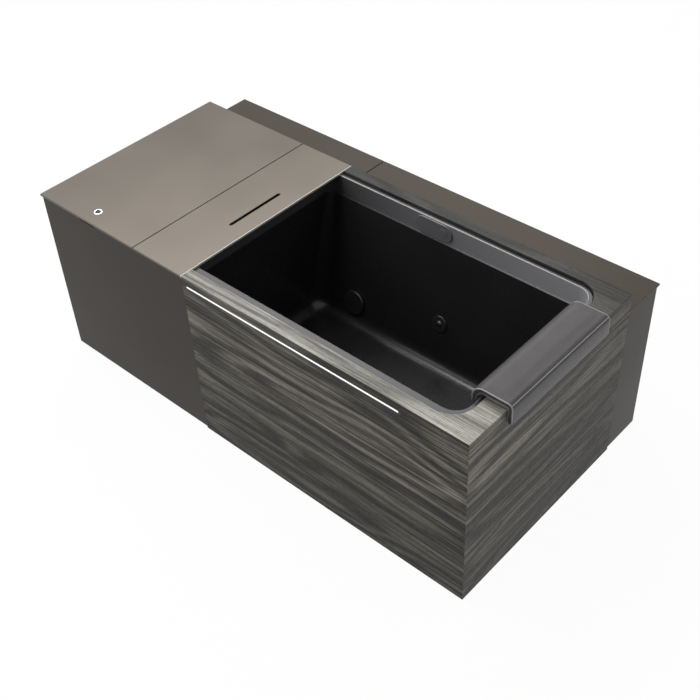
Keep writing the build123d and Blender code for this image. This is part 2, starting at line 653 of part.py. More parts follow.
with BuildPart() as hinge_pins:
    for centre in HINGE_CENTRES:
        rod(spot(centre - HINGE_LENGTH / 2, HINGE_Y, HINGE_Z), (1, 0, 0), HINGE_PIN_RADIUS, HINGE_LENGTH)
        for end in (centre - HINGE_LENGTH / 2 - 2, centre + HINGE_LENGTH / 2):
            rod(spot(end, HINGE_Y, HINGE_Z), (1, 0, 0), HINGE_KNUCKLE_RADIUS - 0.5, 2)
save(hinge_pins, "hinge_pins")

# Lid button: chrome bezel with a neck through the lid, a sprung button and a cup below
BUTTON_RADIUS = 10
BUTTON_TRAVEL = 3
NECK_BOTTOM = 672
with BuildPart() as latch_bezel:
    with BuildSketch(Plane.XZ.offset(-FRONT - LATCH_AT[1])):
        with BuildLine():
            Polyline(
                (LEFT + LATCH_AT[0] + BUTTON_RADIUS + 0.2, NECK_BOTTOM),
                (LEFT + LATCH_AT[0] + LATCH_HOLE, NECK_BOTTOM),
                (LEFT + LATCH_AT[0] + LATCH_HOLE, DECK_TOP),
                (LEFT + LATCH_AT[0] + 16, DECK_TOP),
                (LEFT + LATCH_AT[0] + 15.4, DECK_TOP + 1),
                (LEFT + LATCH_AT[0] + 13, DECK_TOP + 1.6),
                (LEFT + LATCH_AT[0] + BUTTON_RADIUS + 0.2, DECK_TOP + 0.8),
                close=True,
            )
        make_face()
    revolve(axis=Axis(spot(*LATCH_AT, 0), (0, 0, 1)))
save(latch_bezel, "latch_bezel")

with BuildPart() as latch_button:
    with BuildSketch(Plane.XY.offset(NECK_BOTTOM + 12)):
        with Locations(at(*LATCH_AT)):
            Circle(BUTTON_RADIUS)
    extrude(amount=DECK_TOP + 3 - NECK_BOTTOM - 12)
    fillet(latch_button.edges().sort_by(Axis.Z)[-1], 2)
save(latch_button, "latch_button")

with BuildPart() as latch_cup:
    rod(spot(*LATCH_AT, NECK_BOTTOM - 8), (0, 0, 1), LATCH_HOLE + 1.5, 8)
    chamfer(latch_cup.edges().sort_by(Axis.Z)[0], 2)
save(latch_cup, "latch_cup")

# Catch magnets and rubber stops that the lid and cover come down on
MAGNET_PLACES = (160, 344)
with BuildPart() as lid_catch_magnets:
    for place in MAGNET_PLACES:
        rod(spot(place, 12, CABINET_TOP), (0, 0, 1), 4.5, PLATE_BOTTOM - CABINET_TOP)
save(lid_catch_magnets, "lid_catch_magnets")

STOP_RADIUS = 3.5
STOP_ROWS = (120, 410, 700)
with BuildPart() as lid_stops:
    for y in STOP_ROWS:
        for x in (11, LID_END - SEAM - HEM / 2, LID_END + SEAM + HEM / 2):
            rod(spot(x, y, CABINET_TOP), (0, 0, 1), STOP_RADIUS, PLATE_BOTTOM - CABINET_TOP)
        rod(spot(MOUTH["left"] - 7, y - 30, FLANGE_TOP), (0, 0, 1), STOP_RADIUS,
            DECK_TOP - PLATE_SKIN - FLANGE_TOP)
save(lid_stops, "lid_stops")

# Access cover: hemmed plate with a bevelled edge at the basin and a finger slot
with BuildPart() as access_cover:
    hemmed_plate(access_cover, (LID_END + SEAM, WOOD_START), (0, MAIN_DEPTH), DECK_TOP)
    with BuildSketch(Plane.XY.offset(PLATE_BOTTOM)):
        with Locations(at(*SLOT_AT)):
            SlotOverall(SLOT_SIZE[1], SLOT_SIZE[0], rotation=90)
    extrude(amount=PLATE, mode=Mode.SUBTRACT)
    slot_edges = access_cover.faces().sort_by(Axis.Z)[-1].inner_wires()[0].edges()
    chamfer(slot_edges, 0.8)
save(access_cover, "access_cover")

# Control pad on the collar, with its push button and the stem for its cable
COLLAR_PLANE = Plane.XZ.offset(-FRONT - MOUTH["back"])
with BuildPart() as control_pad:
    with BuildSketch(COLLAR_PLANE):
        with Locations((LEFT + CONTROL_AT[0], CONTROL_AT[1])):
            SlotOverall(*CONTROL_SIZE)
    extrude(amount=CONTROL_DEPTH)
    fillet(control_pad.faces().sort_by(Axis.Y)[0].edges(), 2)
    rod(spot(CONTROL_BUTTON_AT[0], MOUTH["back"] - 1, CONTROL_BUTTON_AT[1]), (0, -1, 0),
        CONTROL_BUTTON_RADIUS + 0.3, CONTROL_DEPTH, mode=Mode.SUBTRACT)
    rod(spot(CONTROL_STEM_AT[0], MOUTH["back"], CONTROL_STEM_AT[1]), (0, 1, 0), CONTROL_STEM_RADIUS, 16)
    rod(spot(CONTROL_STEM_AT[0], MOUTH["back"] - 2, CONTROL_STEM_AT[1]), (0, 1, 0), 3, 20, mode=Mode.SUBTRACT)
save(control_pad, "control_pad")

with BuildPart() as control_button:
    rod(spot(CONTROL_BUTTON_AT[0], MOUTH["back"] - 3, CONTROL_BUTTON_AT[1]), (0, -1, 0), CONTROL_BUTTON_RADIUS, 4)
    fillet(control_button.edges().sort_by(Axis.Y)[0], 1)
save(control_button, "control_button")

# Suction cover: a domed disc that stands off the wall, with a ring of openings in its skirt
SKIRT_GAP = 3
SUCTION_PROUD = 13
with BuildPart() as suction_cover:
    with BuildSketch(SUCTION_PLANE.offset(SKIRT_GAP)):
        Circle(SUCTION_RADIUS)
    extrude(amount=SUCTION_PROUD - SKIRT_GAP)
    fillet(suction_cover.faces().sort_by(Axis(SUCTION_PLANE.origin, SUCTION_PLANE.z_dir))[-1].edges(), 5)
    with BuildSketch(SUCTION_PLANE.offset(SKIRT_GAP)):
        Circle(SUCTION_RADIUS - 4)
    extrude(amount=6, mode=Mode.SUBTRACT)
    with BuildSketch(SUCTION_PLANE.offset(SKIRT_GAP)):
        with PolarLocations(SUCTION_RADIUS, 20):
            Rectangle(12, 5)
    extrude(amount=3, mode=Mode.SUBTRACT)
    with BuildSketch(SUCTION_PLANE):
        Circle(6)
    extrude(amount=SUCTION_PROUD - 3)
save(suction_cover, "suction_cover")

SUCTION_PORT = behind(SUCTION_PLANE, 58)
SUCTION_PORT_REACH = 40
with BuildPart() as suction_body:
    with BuildSketch(SUCTION_PLANE.offset(-80)):
        Circle(SUCTION_HOLE - 0.2)
    extrude(amount=80)
    with BuildSketch(SUCTION_PLANE.offset(-WALL - 10)):
        RegularPolygon(radius=42, side_count=8)
    extrude(amount=10)
    rod(SUCTION_PORT, (-1, 0, 0), SOCKET_RADIUS, SUCTION_PORT_REACH)
    with BuildSketch(SUCTION_PLANE.offset(-70)):
        Circle(SUCTION_HOLE - 4)
    extrude(amount=70, mode=Mode.SUBTRACT)
    with BuildSketch(SUCTION_PLANE.offset(-8)):
        Rectangle(4, 2 * SUCTION_HOLE - 6)
        Rectangle(2 * SUCTION_HOLE - 6, 4)
        Circle(6)
    extrude(amount=8)
    rod(SUCTION_PORT, (-1, 0, 0), PIPE_RADIUS - PIPE_WALL, SUCTION_PORT_REACH + 1, mode=Mode.SUBTRACT)
save(suction_body, "suction_body")

# Massage jet: a wall ring and body that hold a swivelling ball with a slanted nozzle
BALL_DEPTH = 4
BALL_CENTRE = behind(JET_PLANE, BALL_DEPTH)
JET_PORT = behind(JET_PLANE, 48)
JET_PORT_REACH = 36
BALL_SEAT = BALL_RADIUS + 0.3
with BuildPart() as jet_ring:
    with BuildSketch(JET_PLANE):
        Circle(JET_RADIUS)
    extrude(amount=7)
    fillet(jet_ring.faces().sort_by(Axis(JET_PLANE.origin, JET_PLANE.z_dir))[-1].edges(), 3)
    with BuildSketch(JET_PLANE.offset(-14)):
        Circle(JET_HOLE - 0.2)
    extrude(amount=14)
    with Locations(BALL_CENTRE):
        Sphere(BALL_SEAT, mode=Mode.SUBTRACT)
    rod(behind(JET_PLANE, 20), JET_PLANE.z_dir, 12.5, 32, mode=Mode.SUBTRACT)
save(jet_ring, "jet_ring")

NOZZLE_TILT = 28
with BuildPart() as jet_eyeball:
    with Locations(BALL_CENTRE):
        Sphere(BALL_RADIUS)
    nozzle = JET_PLANE.z_dir.rotate(Axis.X, NOZZLE_TILT)
    rod(BALL_CENTRE - nozzle * 30, nozzle, 6.5, 60, mode=Mode.SUBTRACT)
    rod(BALL_CENTRE + nozzle * 9, nozzle, 9, 20, mode=Mode.SUBTRACT)
save(jet_eyeball, "jet_eyeball")

with BuildPart() as jet_body:
    with BuildSketch(JET_PLANE.offset(-66)):
        Circle(JET_HOLE - 0.2)
    extrude(amount=52)
    with BuildSketch(JET_PLANE.offset(-WALL - 10)):
        RegularPolygon(radius=34, side_count=8)
        Circle(JET_HOLE - 0.2, mode=Mode.SUBTRACT)
    extrude(amount=10)
    rod(JET_PORT, (-1, 0, 0), SOCKET_RADIUS, JET_PORT_REACH)
    with Locations(BALL_CENTRE):
        Sphere(BALL_SEAT, mode=Mode.SUBTRACT)
    with BuildSketch(JET_PLANE.offset(-56)):
        Circle(12.5)
    extrude(amount=50, mode=Mode.SUBTRACT)
    rod(JET_PORT, (-1, 0, 0), PIPE_RADIUS - PIPE_WALL, JET_PORT_REACH + 1, mode=Mode.SUBTRACT)
save(jet_body, "jet_body")

# Headrest: a padded saddle hooked over the end of the tub, on rubber spacers
BRACKET = 4
PAD = 14
ROLL_CENTRE = (LEFT + 1822, HEADREST_TOP - 40)
OUTER_X = LEFT + BLOCK_LENGTH + HEADREST_OVERHANG
BEND = 18
PAD_LEG = PAD - 1
LEG_BOTTOM = 655
LOBE_BOTTOM = 664


def saddle_outline(outside, inside, roll_outer, roll_inner, lobe_end, leg_end):
    """Hooked strip between an outer and an inner line, seen along the tub's width."""
    cx, cz = ROLL_CENTRE
    top = cz + roll_outer
    under = cz + roll_inner
    with BuildSketch(Plane.XZ.offset(-FRONT - HEADREST_FRONT)) as strip:
        with BuildLine():
            Line((cx - roll_outer, lobe_end), (cx - roll_outer, cz))
            ThreePointArc(
                (cx - roll_outer, cz),
                (cx - roll_outer * math.sqrt(0.5), cz + roll_outer * math.sqrt(0.5)),
                (cx, top),
            )
            Line((cx, top), (outside, top))
            Line((outside, top), (outside, leg_end))
            Line((outside, leg_end), (inside, leg_end))
            Line((inside, leg_end), (inside, under))
            Line((inside, under), (cx, under))
            ThreePointArc(
                (cx, under),
                (cx - roll_inner * math.sqrt(0.5), cz + roll_inner * math.sqrt(0.5)),
                (cx - roll_inner, cz),
            )
            Line((cx - roll_inner, cz), (cx - roll_inner, lobe_end))
            Line((cx - roll_inner, lobe_end), (cx - roll_outer, lobe_end))
        make_face()
    return strip.sketch


BRACKET_OUTSIDE = OUTER_X - PAD_LEG
HEADREST_WIDTH = HEADREST_BACK - HEADREST_FRONT
with BuildPart() as headrest_bracket:
    extrude(saddle_outline(BRACKET_OUTSIDE, BRACKET_OUTSIDE - BRACKET, 40 - PAD, 40 - PAD - BRACKET,
                           LOBE_BOTTOM + 6, LEG_BOTTOM + 4), amount=-HEADREST_WIDTH)
    bends = headrest_bracket.edges().filter_by(Axis.Y).filter_by(
        lambda edge: edge.center().X > BRACKET_OUTSIDE - BRACKET - 1 and edge.center().Z > DECK_TOP)
    fillet(bends.sort_by(Axis.X)[-1], BEND - PAD_LEG)
    inner_bend = headrest_bracket.edges().filter_by(Axis.Y).filter_by(
        lambda edge: abs(edge.center().X - BRACKET_OUTSIDE + BRACKET) < 0.1 and edge.center().Z > DECK_TOP)
    fillet(inner_bend, BEND - PAD_LEG - BRACKET + 0.5)
save(headrest_bracket, "headrest_bracket")

with BuildPart() as headrest_pad:
    extrude(saddle_outline(OUTER_X, BRACKET_OUTSIDE, 40, 40 - PAD, LOBE_BOTTOM, LEG_BOTTOM), amount=-HEADREST_WIDTH)
    bend = headrest_pad.edges().filter_by(Axis.Y).filter_by(
        lambda edge: abs(edge.center().X - OUTER_X) < 0.1 and edge.center().Z > DECK_TOP)
    fillet(bend, BEND)
    inner = headrest_pad.edges().filter_by(Axis.Y).filter_by(
        lambda edge: abs(edge.center().X - BRACKET_OUTSIDE) < 0.1 and edge.center().Z > DECK_TOP)
    fillet(inner, BEND - PAD_LEG)
    hems = headrest_pad.edges().filter_by(Axis.Y).filter_by(lambda edge: edge.center().Z < LOBE_BOTTOM + 1)
    fillet(hems, 5)
    end_edges = headrest_pad.faces().filter_by(Axis.Y).edges()
    outer_rims = end_edges.filter_by(
        lambda edge: edge.center().Z > HEADREST_TOP - 0.5
        or edge.center().X > OUTER_X - 0.5
        or edge.center().X < ROLL_CENTRE[0] - 39.5
        or (edge.geom_type == GeomType.CIRCLE and edge.radius > 30)
        or (edge.geom_type == GeomType.CIRCLE and abs(edge.radius - BEND) < 0.1))
    fillet(outer_rims, 3.5)
save(headrest_pad, "headrest_pad")

SPACER_X = (1850, 1886)
SPACER_Y = (HEADREST_FRONT + 60, HEADREST_BACK - 60)
SADDLE_UNDERSIDE = ROLL_CENTRE[1] + 40 - PAD - BRACKET
with BuildPart() as headrest_spacers:
    for x in SPACER_X:
        for y in SPACER_Y:
            rod(spot(x, y, DECK_TOP), (0, 0, 1), 10, SADDLE_UNDERSIDE - DECK_TOP)
    for y in SPACER_Y:
        rod((LEFT + BLOCK_LENGTH + 0.3, FRONT + y, 674), (1, 0, 0), 9,
            BRACKET_OUTSIDE - BRACKET - LEFT - BLOCK_LENGTH - 0.3)
save(headrest_spacers, "headrest_spacers")

# Chiller: a sheet casing with a fan well in its left face, top vents, two sockets and the
# compressor's pot standing on its floor
CHILLER_X = (45, 425)
CHILLER_Y = (400, 780)
CHILLER_Z = (78, 470)
FAN_AT = (590, 274)
FAN_WELL_RADIUS = 125
FAN_WELL_DEPTH = 70
MOTOR_START = 85
SHAFT_RADIUS = 4
CHILLER_PORT_Z = 400
CHILLER_IN_Y = 520
CHILLER_OUT_Y = 640
PORT_REACH = 20
COMPRESSOR_AT = (300, 690)
COMPRESSOR_RADIUS = 62
COMPRESSOR_HEIGHT = 230
with BuildPart() as chiller_casing:
    block(CHILLER_X, CHILLER_Y, CHILLER_Z)
    fillet(chiller_casing.edges().filter_by(Axis.Z), 14)
    block((CHILLER_X[0] + SHEET, CHILLER_X[1] - SHEET), (CHILLER_Y[0] + SHEET, CHILLER_Y[1] - SHEET),
          (CHILLER_Z[0] + SHEET, CHILLER_Z[1] - SHEET), mode=Mode.SUBTRACT)
    rod(spot(CHILLER_X[0], *FAN_AT), (1, 0, 0), FAN_WELL_RADIUS + SHEET, FAN_WELL_DEPTH + SHEET)
    rod(spot(CHILLER_X[0] - 1, *FAN_AT), (1, 0, 0), FAN_WELL_RADIUS, FAN_WELL_DEPTH + 1, mode=Mode.SUBTRACT)
    rod(spot(*COMPRESSOR_AT, CHILLER_Z[0]), (0, 0, 1), COMPRESSOR_RADIUS, COMPRESSOR_HEIGHT)
    rod(spot(MOTOR_START, *FAN_AT), (1, 0, 0), 25, CHILLER_X[0] + FAN_WELL_DEPTH - MOTOR_START)
    rod(spot(MOTOR_START - 26, *FAN_AT), (1, 0, 0), SHAFT_RADIUS, 27)
    with BuildSketch(Plane.XY.offset(CHILLER_Z[1])):
        with Locations(at(235, 590)):
            with GridLocations(24, 0, 11, 1):
                SlotOverall(220, 8, rotation=90)
    extrude(amount=-12, mode=Mode.SUBTRACT)
    for y in (CHILLER_IN_Y, CHILLER_OUT_Y):
        rod(spot(CHILLER_X[1] - 1, y, CHILLER_PORT_Z), (1, 0, 0), SOCKET_RADIUS, PORT_REACH + 1)
        rod(spot(CHILLER_X[1] - 10, y, CHILLER_PORT_Z), (1, 0, 0), PIPE_RADIUS - PIPE_WALL, PORT_REACH + 20,
            mode=Mode.SUBTRACT)
save(chiller_casing, "chiller_casing")

with BuildPart() as chiller_feet:
    for x in (80, 390):
        for y in (435, 745):
            rod(spot(x, y, TRAY_TOP), (0, 0, 1), 16, CHILLER_Z[0] - TRAY_TOP)
save(chiller_feet, "chiller_feet")

GUARD_RINGS = (130, 106, 82, 58, 34)
with BuildPart() as fan_guard:
    with BuildSketch(Plane.YZ.offset(LEFT + CHILLER_X[0] - 3)):
        with Locations((FRONT + FAN_AT[0], FAN_AT[1])):
            for radius in GUARD_RINGS:
                Circle(radius)
                Circle(radius - 3, mode=Mode.SUBTRACT)
            with PolarLocations((GUARD_RINGS[0] + GUARD_RINGS[-1]) / 2 - 1.5, 8):
                Rectangle(GUARD_RINGS[0] - GUARD_RINGS[-1], 3)
    extrude(amount=3)
save(fan_guard, "fan_guard")

# Fan: five twisted blades on a hub that turns on the motor's shaft
BLADE_COUNT = 5
BLADE_ROOT = 27
BLADE_TIP = 115
HUB = (60, 82)
FAN_CENTRE = spot(sum(HUB) / 2, *FAN_AT)
with BuildPart() as fan_blade:
    with BuildSketch(Plane(origin=FAN_CENTRE, x_dir=(1, 0, 0), z_dir=(0, 0, 1)).offset(BLADE_ROOT)):
        Rectangle(3, 30, rotation=38)
    with BuildSketch(Plane(origin=FAN_CENTRE, x_dir=(1, 0, 0), z_dir=(0, 0, 1)).offset(BLADE_TIP)):
        Rectangle(2, 62, rotation=22)
    loft()
with BuildPart() as chiller_fan:
    rod(spot(HUB[0], *FAN_AT), (1, 0, 0), 30, HUB[1] - HUB[0])
    for number in range(BLADE_COUNT):
        add(fan_blade.part.rotate(Axis(FAN_CENTRE, (1, 0, 0)), number * 360 / BLADE_COUNT))
    rod(spot(HUB[0] - 10, *FAN_AT), (1, 0, 0), SHAFT_RADIUS + RUNNING_FIT, 40, mode=Mode.SUBTRACT)
save(chiller_fan, "chiller_fan")

# Circulation pump: ribbed motor on a foot, and a volute head with two sockets
PUMP_AT = (160, 150)
PUMP_START = 90
HEAD_START = 250
HEAD_END = 305
PUMP_OUT = (280, 160)
with BuildPart() as pump_motor:
    rod(spot(PUMP_START, *PUMP_AT), (1, 0, 0), 56, HEAD_START - PUMP_START)
    fillet(pump_motor.edges().sort_by(Axis.X)[0], 12)
    with BuildSketch(Plane.YZ.offset(LEFT + PUMP_START + 16)):
        with Locations((FRONT + PUMP_AT[0], PUMP_AT[1])):
            with PolarLocations(58, 24):
                Rectangle(10, 3)
    extrude(amount=HEAD_START - PUMP_START - 30)
    block((PUMP_START + 20, HEAD_START - 20), (PUMP_AT[0] - 50, PUMP_AT[0] + 50), (TRAY_TOP, TRAY_TOP + 6))
    block((PUMP_START + 40, HEAD_START - 40), (PUMP_AT[0] - 25, PUMP_AT[0] + 25), (TRAY_TOP + 6, PUMP_AT[1] - 30))
save(pump_motor, "pump_motor")

with BuildPart() as pump_head:
    rod(spot(HEAD_START, *PUMP_AT), (1, 0, 0), 70, HEAD_END - HEAD_START)
    fillet(pump_head.edges().sort_by(Axis.X)[-1], 14)
    rod(spot(HEAD_END - 1, *PUMP_AT), (1, 0, 0), SOCKET_RADIUS, 36)
    rod(spot(*PUMP_OUT, PUMP_AT[1]), (0, 0, 1), SOCKET_RADIUS, 100)
    rod(spot(HEAD_END - 20, *PUMP_AT), (1, 0, 0), PIPE_RADIUS - PIPE_WALL, 70, mode=Mode.SUBTRACT)
    rod(spot(*PUMP_OUT, PUMP_AT[1] + 30), (0, 0, 1), PIPE_RADIUS - PIPE_WALL, 90, mode=Mode.SUBTRACT)
save(pump_head, "pump_head")

# Filter: a tall housing under the access cover, with a ribbed cap that twists off
FILTER_AT = (566, 230)
FILTER_RADIUS = 42
FILTER_TOP = 560
NECK_RADIUS = 36
CAP_TOP = 600
FILTER_IN_Z = 330
FILTER_OUT_Z = CHILLER_PORT_Z
with BuildPart() as filter_housing:
    rod(spot(*FILTER_AT, TRAY_TOP), (0, 0, 1), FILTER_RADIUS, FILTER_TOP - TRAY_TOP)
    fillet(filter_housing.edges().sort_by(Axis.Z)[0], 16)
    rod(spot(*FILTER_AT, FILTER_TOP - 12), (0, 0, 1), FILTER_RADIUS + 4, 12)
    rod(spot(*FILTER_AT, FILTER_TOP), (0, 0, 1), NECK_RADIUS, 24)
    rod(spot(*FILTER_AT, FILTER_IN_Z), (-1, 0, 0), SOCKET_RADIUS, FILTER_RADIUS + 20)
    rod(spot(*FILTER_AT, FILTER_OUT_Z), (0, 1, 0), SOCKET_RADIUS, FILTER_RADIUS + 20)
    rod(spot(*FILTER_AT, TRAY_TOP + 8), (0, 0, 1), FILTER_RADIUS - 6, FILTER_TOP, mode=Mode.SUBTRACT)
    rod(spot(*FILTER_AT, FILTER_IN_Z), (-1, 0, 0), PIPE_RADIUS - PIPE_WALL, 80, mode=Mode.SUBTRACT)
    rod(spot(*FILTER_AT, FILTER_OUT_Z), (0, 1, 0), PIPE_RADIUS - PIPE_WALL, 80, mode=Mode.SUBTRACT)
save(filter_housing, "filter_housing")

with BuildPart() as filter_cap:
    rod(spot(*FILTER_AT, FILTER_TOP + 0.3), (0, 0, 1), FILTER_RADIUS + 2, CAP_TOP - FILTER_TOP - 0.3)
    fillet(filter_cap.edges().sort_by(Axis.Z)[-1], 4)
    with BuildSketch(Plane.XY.offset(FILTER_TOP + 0.3)):
        with Locations(at(*FILTER_AT)):
            with PolarLocations(FILTER_RADIUS + 2, 16):
                Rectangle(5, 6)
    extrude(amount=30)
    rod(spot(*FILTER_AT, FILTER_TOP - 1), (0, 0, 1), NECK_RADIUS + RUNNING_FIT, 26, mode=Mode.SUBTRACT)
    block((FILTER_AT[0] - 34, FILTER_AT[0] + 34), (FILTER_AT[1] - 5, FILTER_AT[1] + 5), (CAP_TOP - 2, CAP_TOP + 14))
save(filter_cap, "filter_cap")

with BuildPart() as filter_cartridge:
    with BuildSketch(Plane.XY.offset(TRAY_TOP + 8)):
        with Locations(at(*FILTER_AT)):
            Circle(28)
            with PolarLocations(29, 24):
                Rectangle(4, 3)
            Circle(12, mode=Mode.SUBTRACT)
    extrude(amount=FILTER_TOP - TRAY_TOP - 20)
save(filter_cartridge, "filter_cartridge")

# Control box on the inside of the cabinet front
BOX_X = (350, 480)
BOX_Y = (CLAD_LEFT, 82)
BOX_Z = (390, 560)
with BuildPart() as control_box:
    block(BOX_X, BOX_Y, BOX_Z)
    fillet(control_box.edges().filter_by(Axis.Y), 8)
    for x in (380, 415, 450):
        rod(spot(x, 44, BOX_Z[0] + 2), (0, 0, -1), 9, 16)
    chamfer(control_box.faces().sort_by(Axis.Y)[-1].edges(), 2)
save(control_box, "control_box")

# Drain branch: a tee under the suction line, a ball valve and a hose tail at the back
TEE_Y = 640
TEE_REACH = 22
TEE_CENTRE = Vector(*spot(DRAIN_X, TEE_Y, DRAIN_Z))
with BuildPart() as drain_tee:
    rod(TEE_CENTRE - Vector(0, TEE_REACH, 0), (0, 1, 0), SOCKET_RADIUS + 1, 2 * TEE_REACH)
    rod(TEE_CENTRE, (1, 0, 0), SOCKET_RADIUS, TEE_REACH)
    rod(TEE_CENTRE - Vector(0, TEE_REACH + 1, 0), (0, 1, 0), PIPE_RADIUS - PIPE_WALL,
        2 * TEE_REACH + 2, mode=Mode.SUBTRACT)
    rod(TEE_CENTRE, (1, 0, 0), PIPE_RADIUS - PIPE_WALL - 1, TEE_REACH + 1, mode=Mode.SUBTRACT)
save(drain_tee, "drain_tee")

VALVE_Y = 730
VALVE_HALF = 38
BONNET_TOP = DRAIN_Z + 27
STEM_RADIUS = 6
with BuildPart() as drain_valve:
    rod(spot(DRAIN_X, TEE_Y + TEE_REACH, DRAIN_Z), (0, 1, 0), PIPE_RADIUS, VALVE_Y + VALVE_HALF - TEE_Y - TEE_REACH)
    rod(spot(DRAIN_X, VALVE_Y - VALVE_HALF, DRAIN_Z), (0, 1, 0), SOCKET_RADIUS, 2 * VALVE_HALF)
    with Locations(spot(DRAIN_X, VALVE_Y, DRAIN_Z)):
        Sphere(25)
    rod(spot(DRAIN_X, VALVE_Y, DRAIN_Z), (0, 0, 1), 10, BONNET_TOP - DRAIN_Z)
    rod(spot(DRAIN_X, VALVE_Y, BONNET_TOP), (0, 0, 1), STEM_RADIUS, 8)
    rod(spot(DRAIN_X, TEE_Y + TEE_REACH - 1, DRAIN_Z), (0, 1, 0), PIPE_RADIUS - PIPE_WALL, 30, mode=Mode.SUBTRACT)
save(drain_valve, "drain_valve")

LEVER_LENGTH = 84
with BuildPart() as valve_handle:
    rod(spot(DRAIN_X, VALVE_Y, BONNET_TOP + 0.3), (0, 0, 1), 11, 13)
    with BuildSketch(Plane.XY.offset(BONNET_TOP + 9)):
        with Locations(at(DRAIN_X + LEVER_LENGTH / 2, VALVE_Y)):
            SlotOverall(LEVER_LENGTH + 16, 16)
    extrude(amount=4)
    rod(spot(DRAIN_X, VALVE_Y, BONNET_TOP - 1), (0, 0, 1), STEM_RADIUS + RUNNING_FIT, 9.4, mode=Mode.SUBTRACT)
save(valve_handle, "valve_handle")

SPIGOT_RADIUS = 20
SPIGOT_FLANGE = 5
SPIGOT_REACH = 30
with BuildPart() as drain_spigot:
    rod(spot(DRAIN_X, LEDGE_BACK, DRAIN_Z), (0, 1, 0), 32, SPIGOT_FLANGE)
    rod(spot(DRAIN_X, LEDGE_BACK + SPIGOT_FLANGE, DRAIN_Z), (0, 1, 0), SPIGOT_RADIUS, SPIGOT_REACH)
    chamfer(drain_spigot.edges().sort_by(Axis.Y)[-1], 2)
    rod(spot(DRAIN_X, LEDGE_BACK - 1, DRAIN_Z), (0, 1, 0), PIPE_RADIUS - PIPE_WALL, 60, mode=Mode.SUBTRACT)
save(drain_spigot, "drain_spigot")

# Cable gland for the mains lead, a nut and dome through the ledge's back
with BuildPart() as cable_gland:
    with BuildSketch(Plane.XZ.offset(-FRONT - LEDGE_BACK)):
        with Locations((LEFT + GLAND_X, DRAIN_Z)):
            RegularPolygon(radius=16, side_count=6)
    extrude(amount=-10)
    rod(spot(GLAND_X, LEDGE_BACK + 10, DRAIN_Z), (0, 1, 0), 12, 14)
    fillet(cable_gland.edges().sort_by(Axis.Y)[-1], 5)
    rod(spot(GLAND_X, LEDGE_BACK - 12, DRAIN_Z), (0, 1, 0), GLAND_HOLE - 0.1, 12)
    rod(spot(GLAND_X, LEDGE_BACK - 14, DRAIN_Z), (0, 1, 0), 5, 50, mode=Mode.SUBTRACT)
save(cable_gland, "cable_gland")

# Pipes of the water circuit: from the suction to the pump and the drain outlet, then from
# the pump through the filter and the chiller to the jet
SUCTION_RUN_Y = SUCTION_PORT.Y - FRONT
SUCTION_START_X = SUCTION_AT[0] - SUCTION_PORT_REACH
with BuildPart() as suction_pipes:
    add(pipe([spot(DRAIN_X, VALVE_Y + VALVE_HALF, DRAIN_Z), spot(DRAIN_X, LEDGE_BACK, DRAIN_Z)]))
    add(pipe([
        spot(SUCTION_START_X, SUCTION_RUN_Y, DRAIN_Z),
        spot(600, SUCTION_RUN_Y, DRAIN_Z),
        spot(600, TEE_Y, DRAIN_Z),
        spot(DRAIN_X + TEE_REACH, TEE_Y, DRAIN_Z),
    ]))
    add(pipe([
        spot(DRAIN_X, TEE_Y - TEE_REACH, DRAIN_Z),
        spot(DRAIN_X, PUMP_AT[0], DRAIN_Z - 4),
        spot(DRAIN_X - 70, PUMP_AT[0], PUMP_AT[1]),
        spot(HEAD_END + 35, *PUMP_AT),
    ]))
save(suction_pipes, "suction_pipes")

JET_RUN_Y = JET_PORT.Y - FRONT
with BuildPart() as pressure_pipes:
    add(pipe([
        spot(*PUMP_OUT, PUMP_AT[1] + 100),
        spot(*PUMP_OUT, FILTER_IN_Z),
        spot(PUMP_OUT[0], FILTER_AT[1], FILTER_IN_Z),
        spot(FILTER_AT[0] - FILTER_RADIUS - 20, FILTER_AT[1], FILTER_IN_Z),
    ]))
    add(pipe([
        spot(FILTER_AT[0], FILTER_AT[1] + FILTER_RADIUS + 20, FILTER_OUT_Z),
        spot(FILTER_AT[0], CHILLER_IN_Y, CHILLER_PORT_Z),
        spot(CHILLER_X[1] + PORT_REACH, CHILLER_IN_Y, CHILLER_PORT_Z),
    ]))
    add(pipe([
        spot(CHILLER_X[1] + PORT_REACH, CHILLER_OUT_Y, CHILLER_PORT_Z),
        spot(590, CHILLER_OUT_Y, CHILLER_PORT_Z),
        spot(590, JET_RUN_Y, CHILLER_PORT_Z),
        spot(590, JET_RUN_Y, JET_PORT.Z),
        spot(JET_AT[0] - JET_PORT_REACH, JET_RUN_Y, JET_PORT.Z),
    ]))
save(pressure_pipes, "pressure_pipes")
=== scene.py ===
import json
import math

import bmesh
import bpy
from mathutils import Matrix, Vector


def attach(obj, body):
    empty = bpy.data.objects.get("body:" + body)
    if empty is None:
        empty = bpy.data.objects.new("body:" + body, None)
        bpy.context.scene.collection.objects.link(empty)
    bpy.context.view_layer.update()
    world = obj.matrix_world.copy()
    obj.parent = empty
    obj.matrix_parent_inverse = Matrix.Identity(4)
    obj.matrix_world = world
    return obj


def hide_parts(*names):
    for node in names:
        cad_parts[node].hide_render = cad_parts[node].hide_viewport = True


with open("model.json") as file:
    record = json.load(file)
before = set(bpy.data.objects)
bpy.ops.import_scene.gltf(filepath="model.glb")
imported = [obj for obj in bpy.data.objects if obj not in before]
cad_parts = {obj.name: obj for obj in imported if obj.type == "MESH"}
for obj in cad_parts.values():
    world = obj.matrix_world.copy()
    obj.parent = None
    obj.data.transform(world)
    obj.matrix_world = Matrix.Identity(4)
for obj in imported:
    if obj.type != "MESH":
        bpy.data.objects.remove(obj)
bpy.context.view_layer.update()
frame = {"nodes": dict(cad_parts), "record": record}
NODES = frame["nodes"]

# The block's front left bottom corner in the shared frame, in metres
CORNER = Vector((-0.961, -0.5, 0.0))

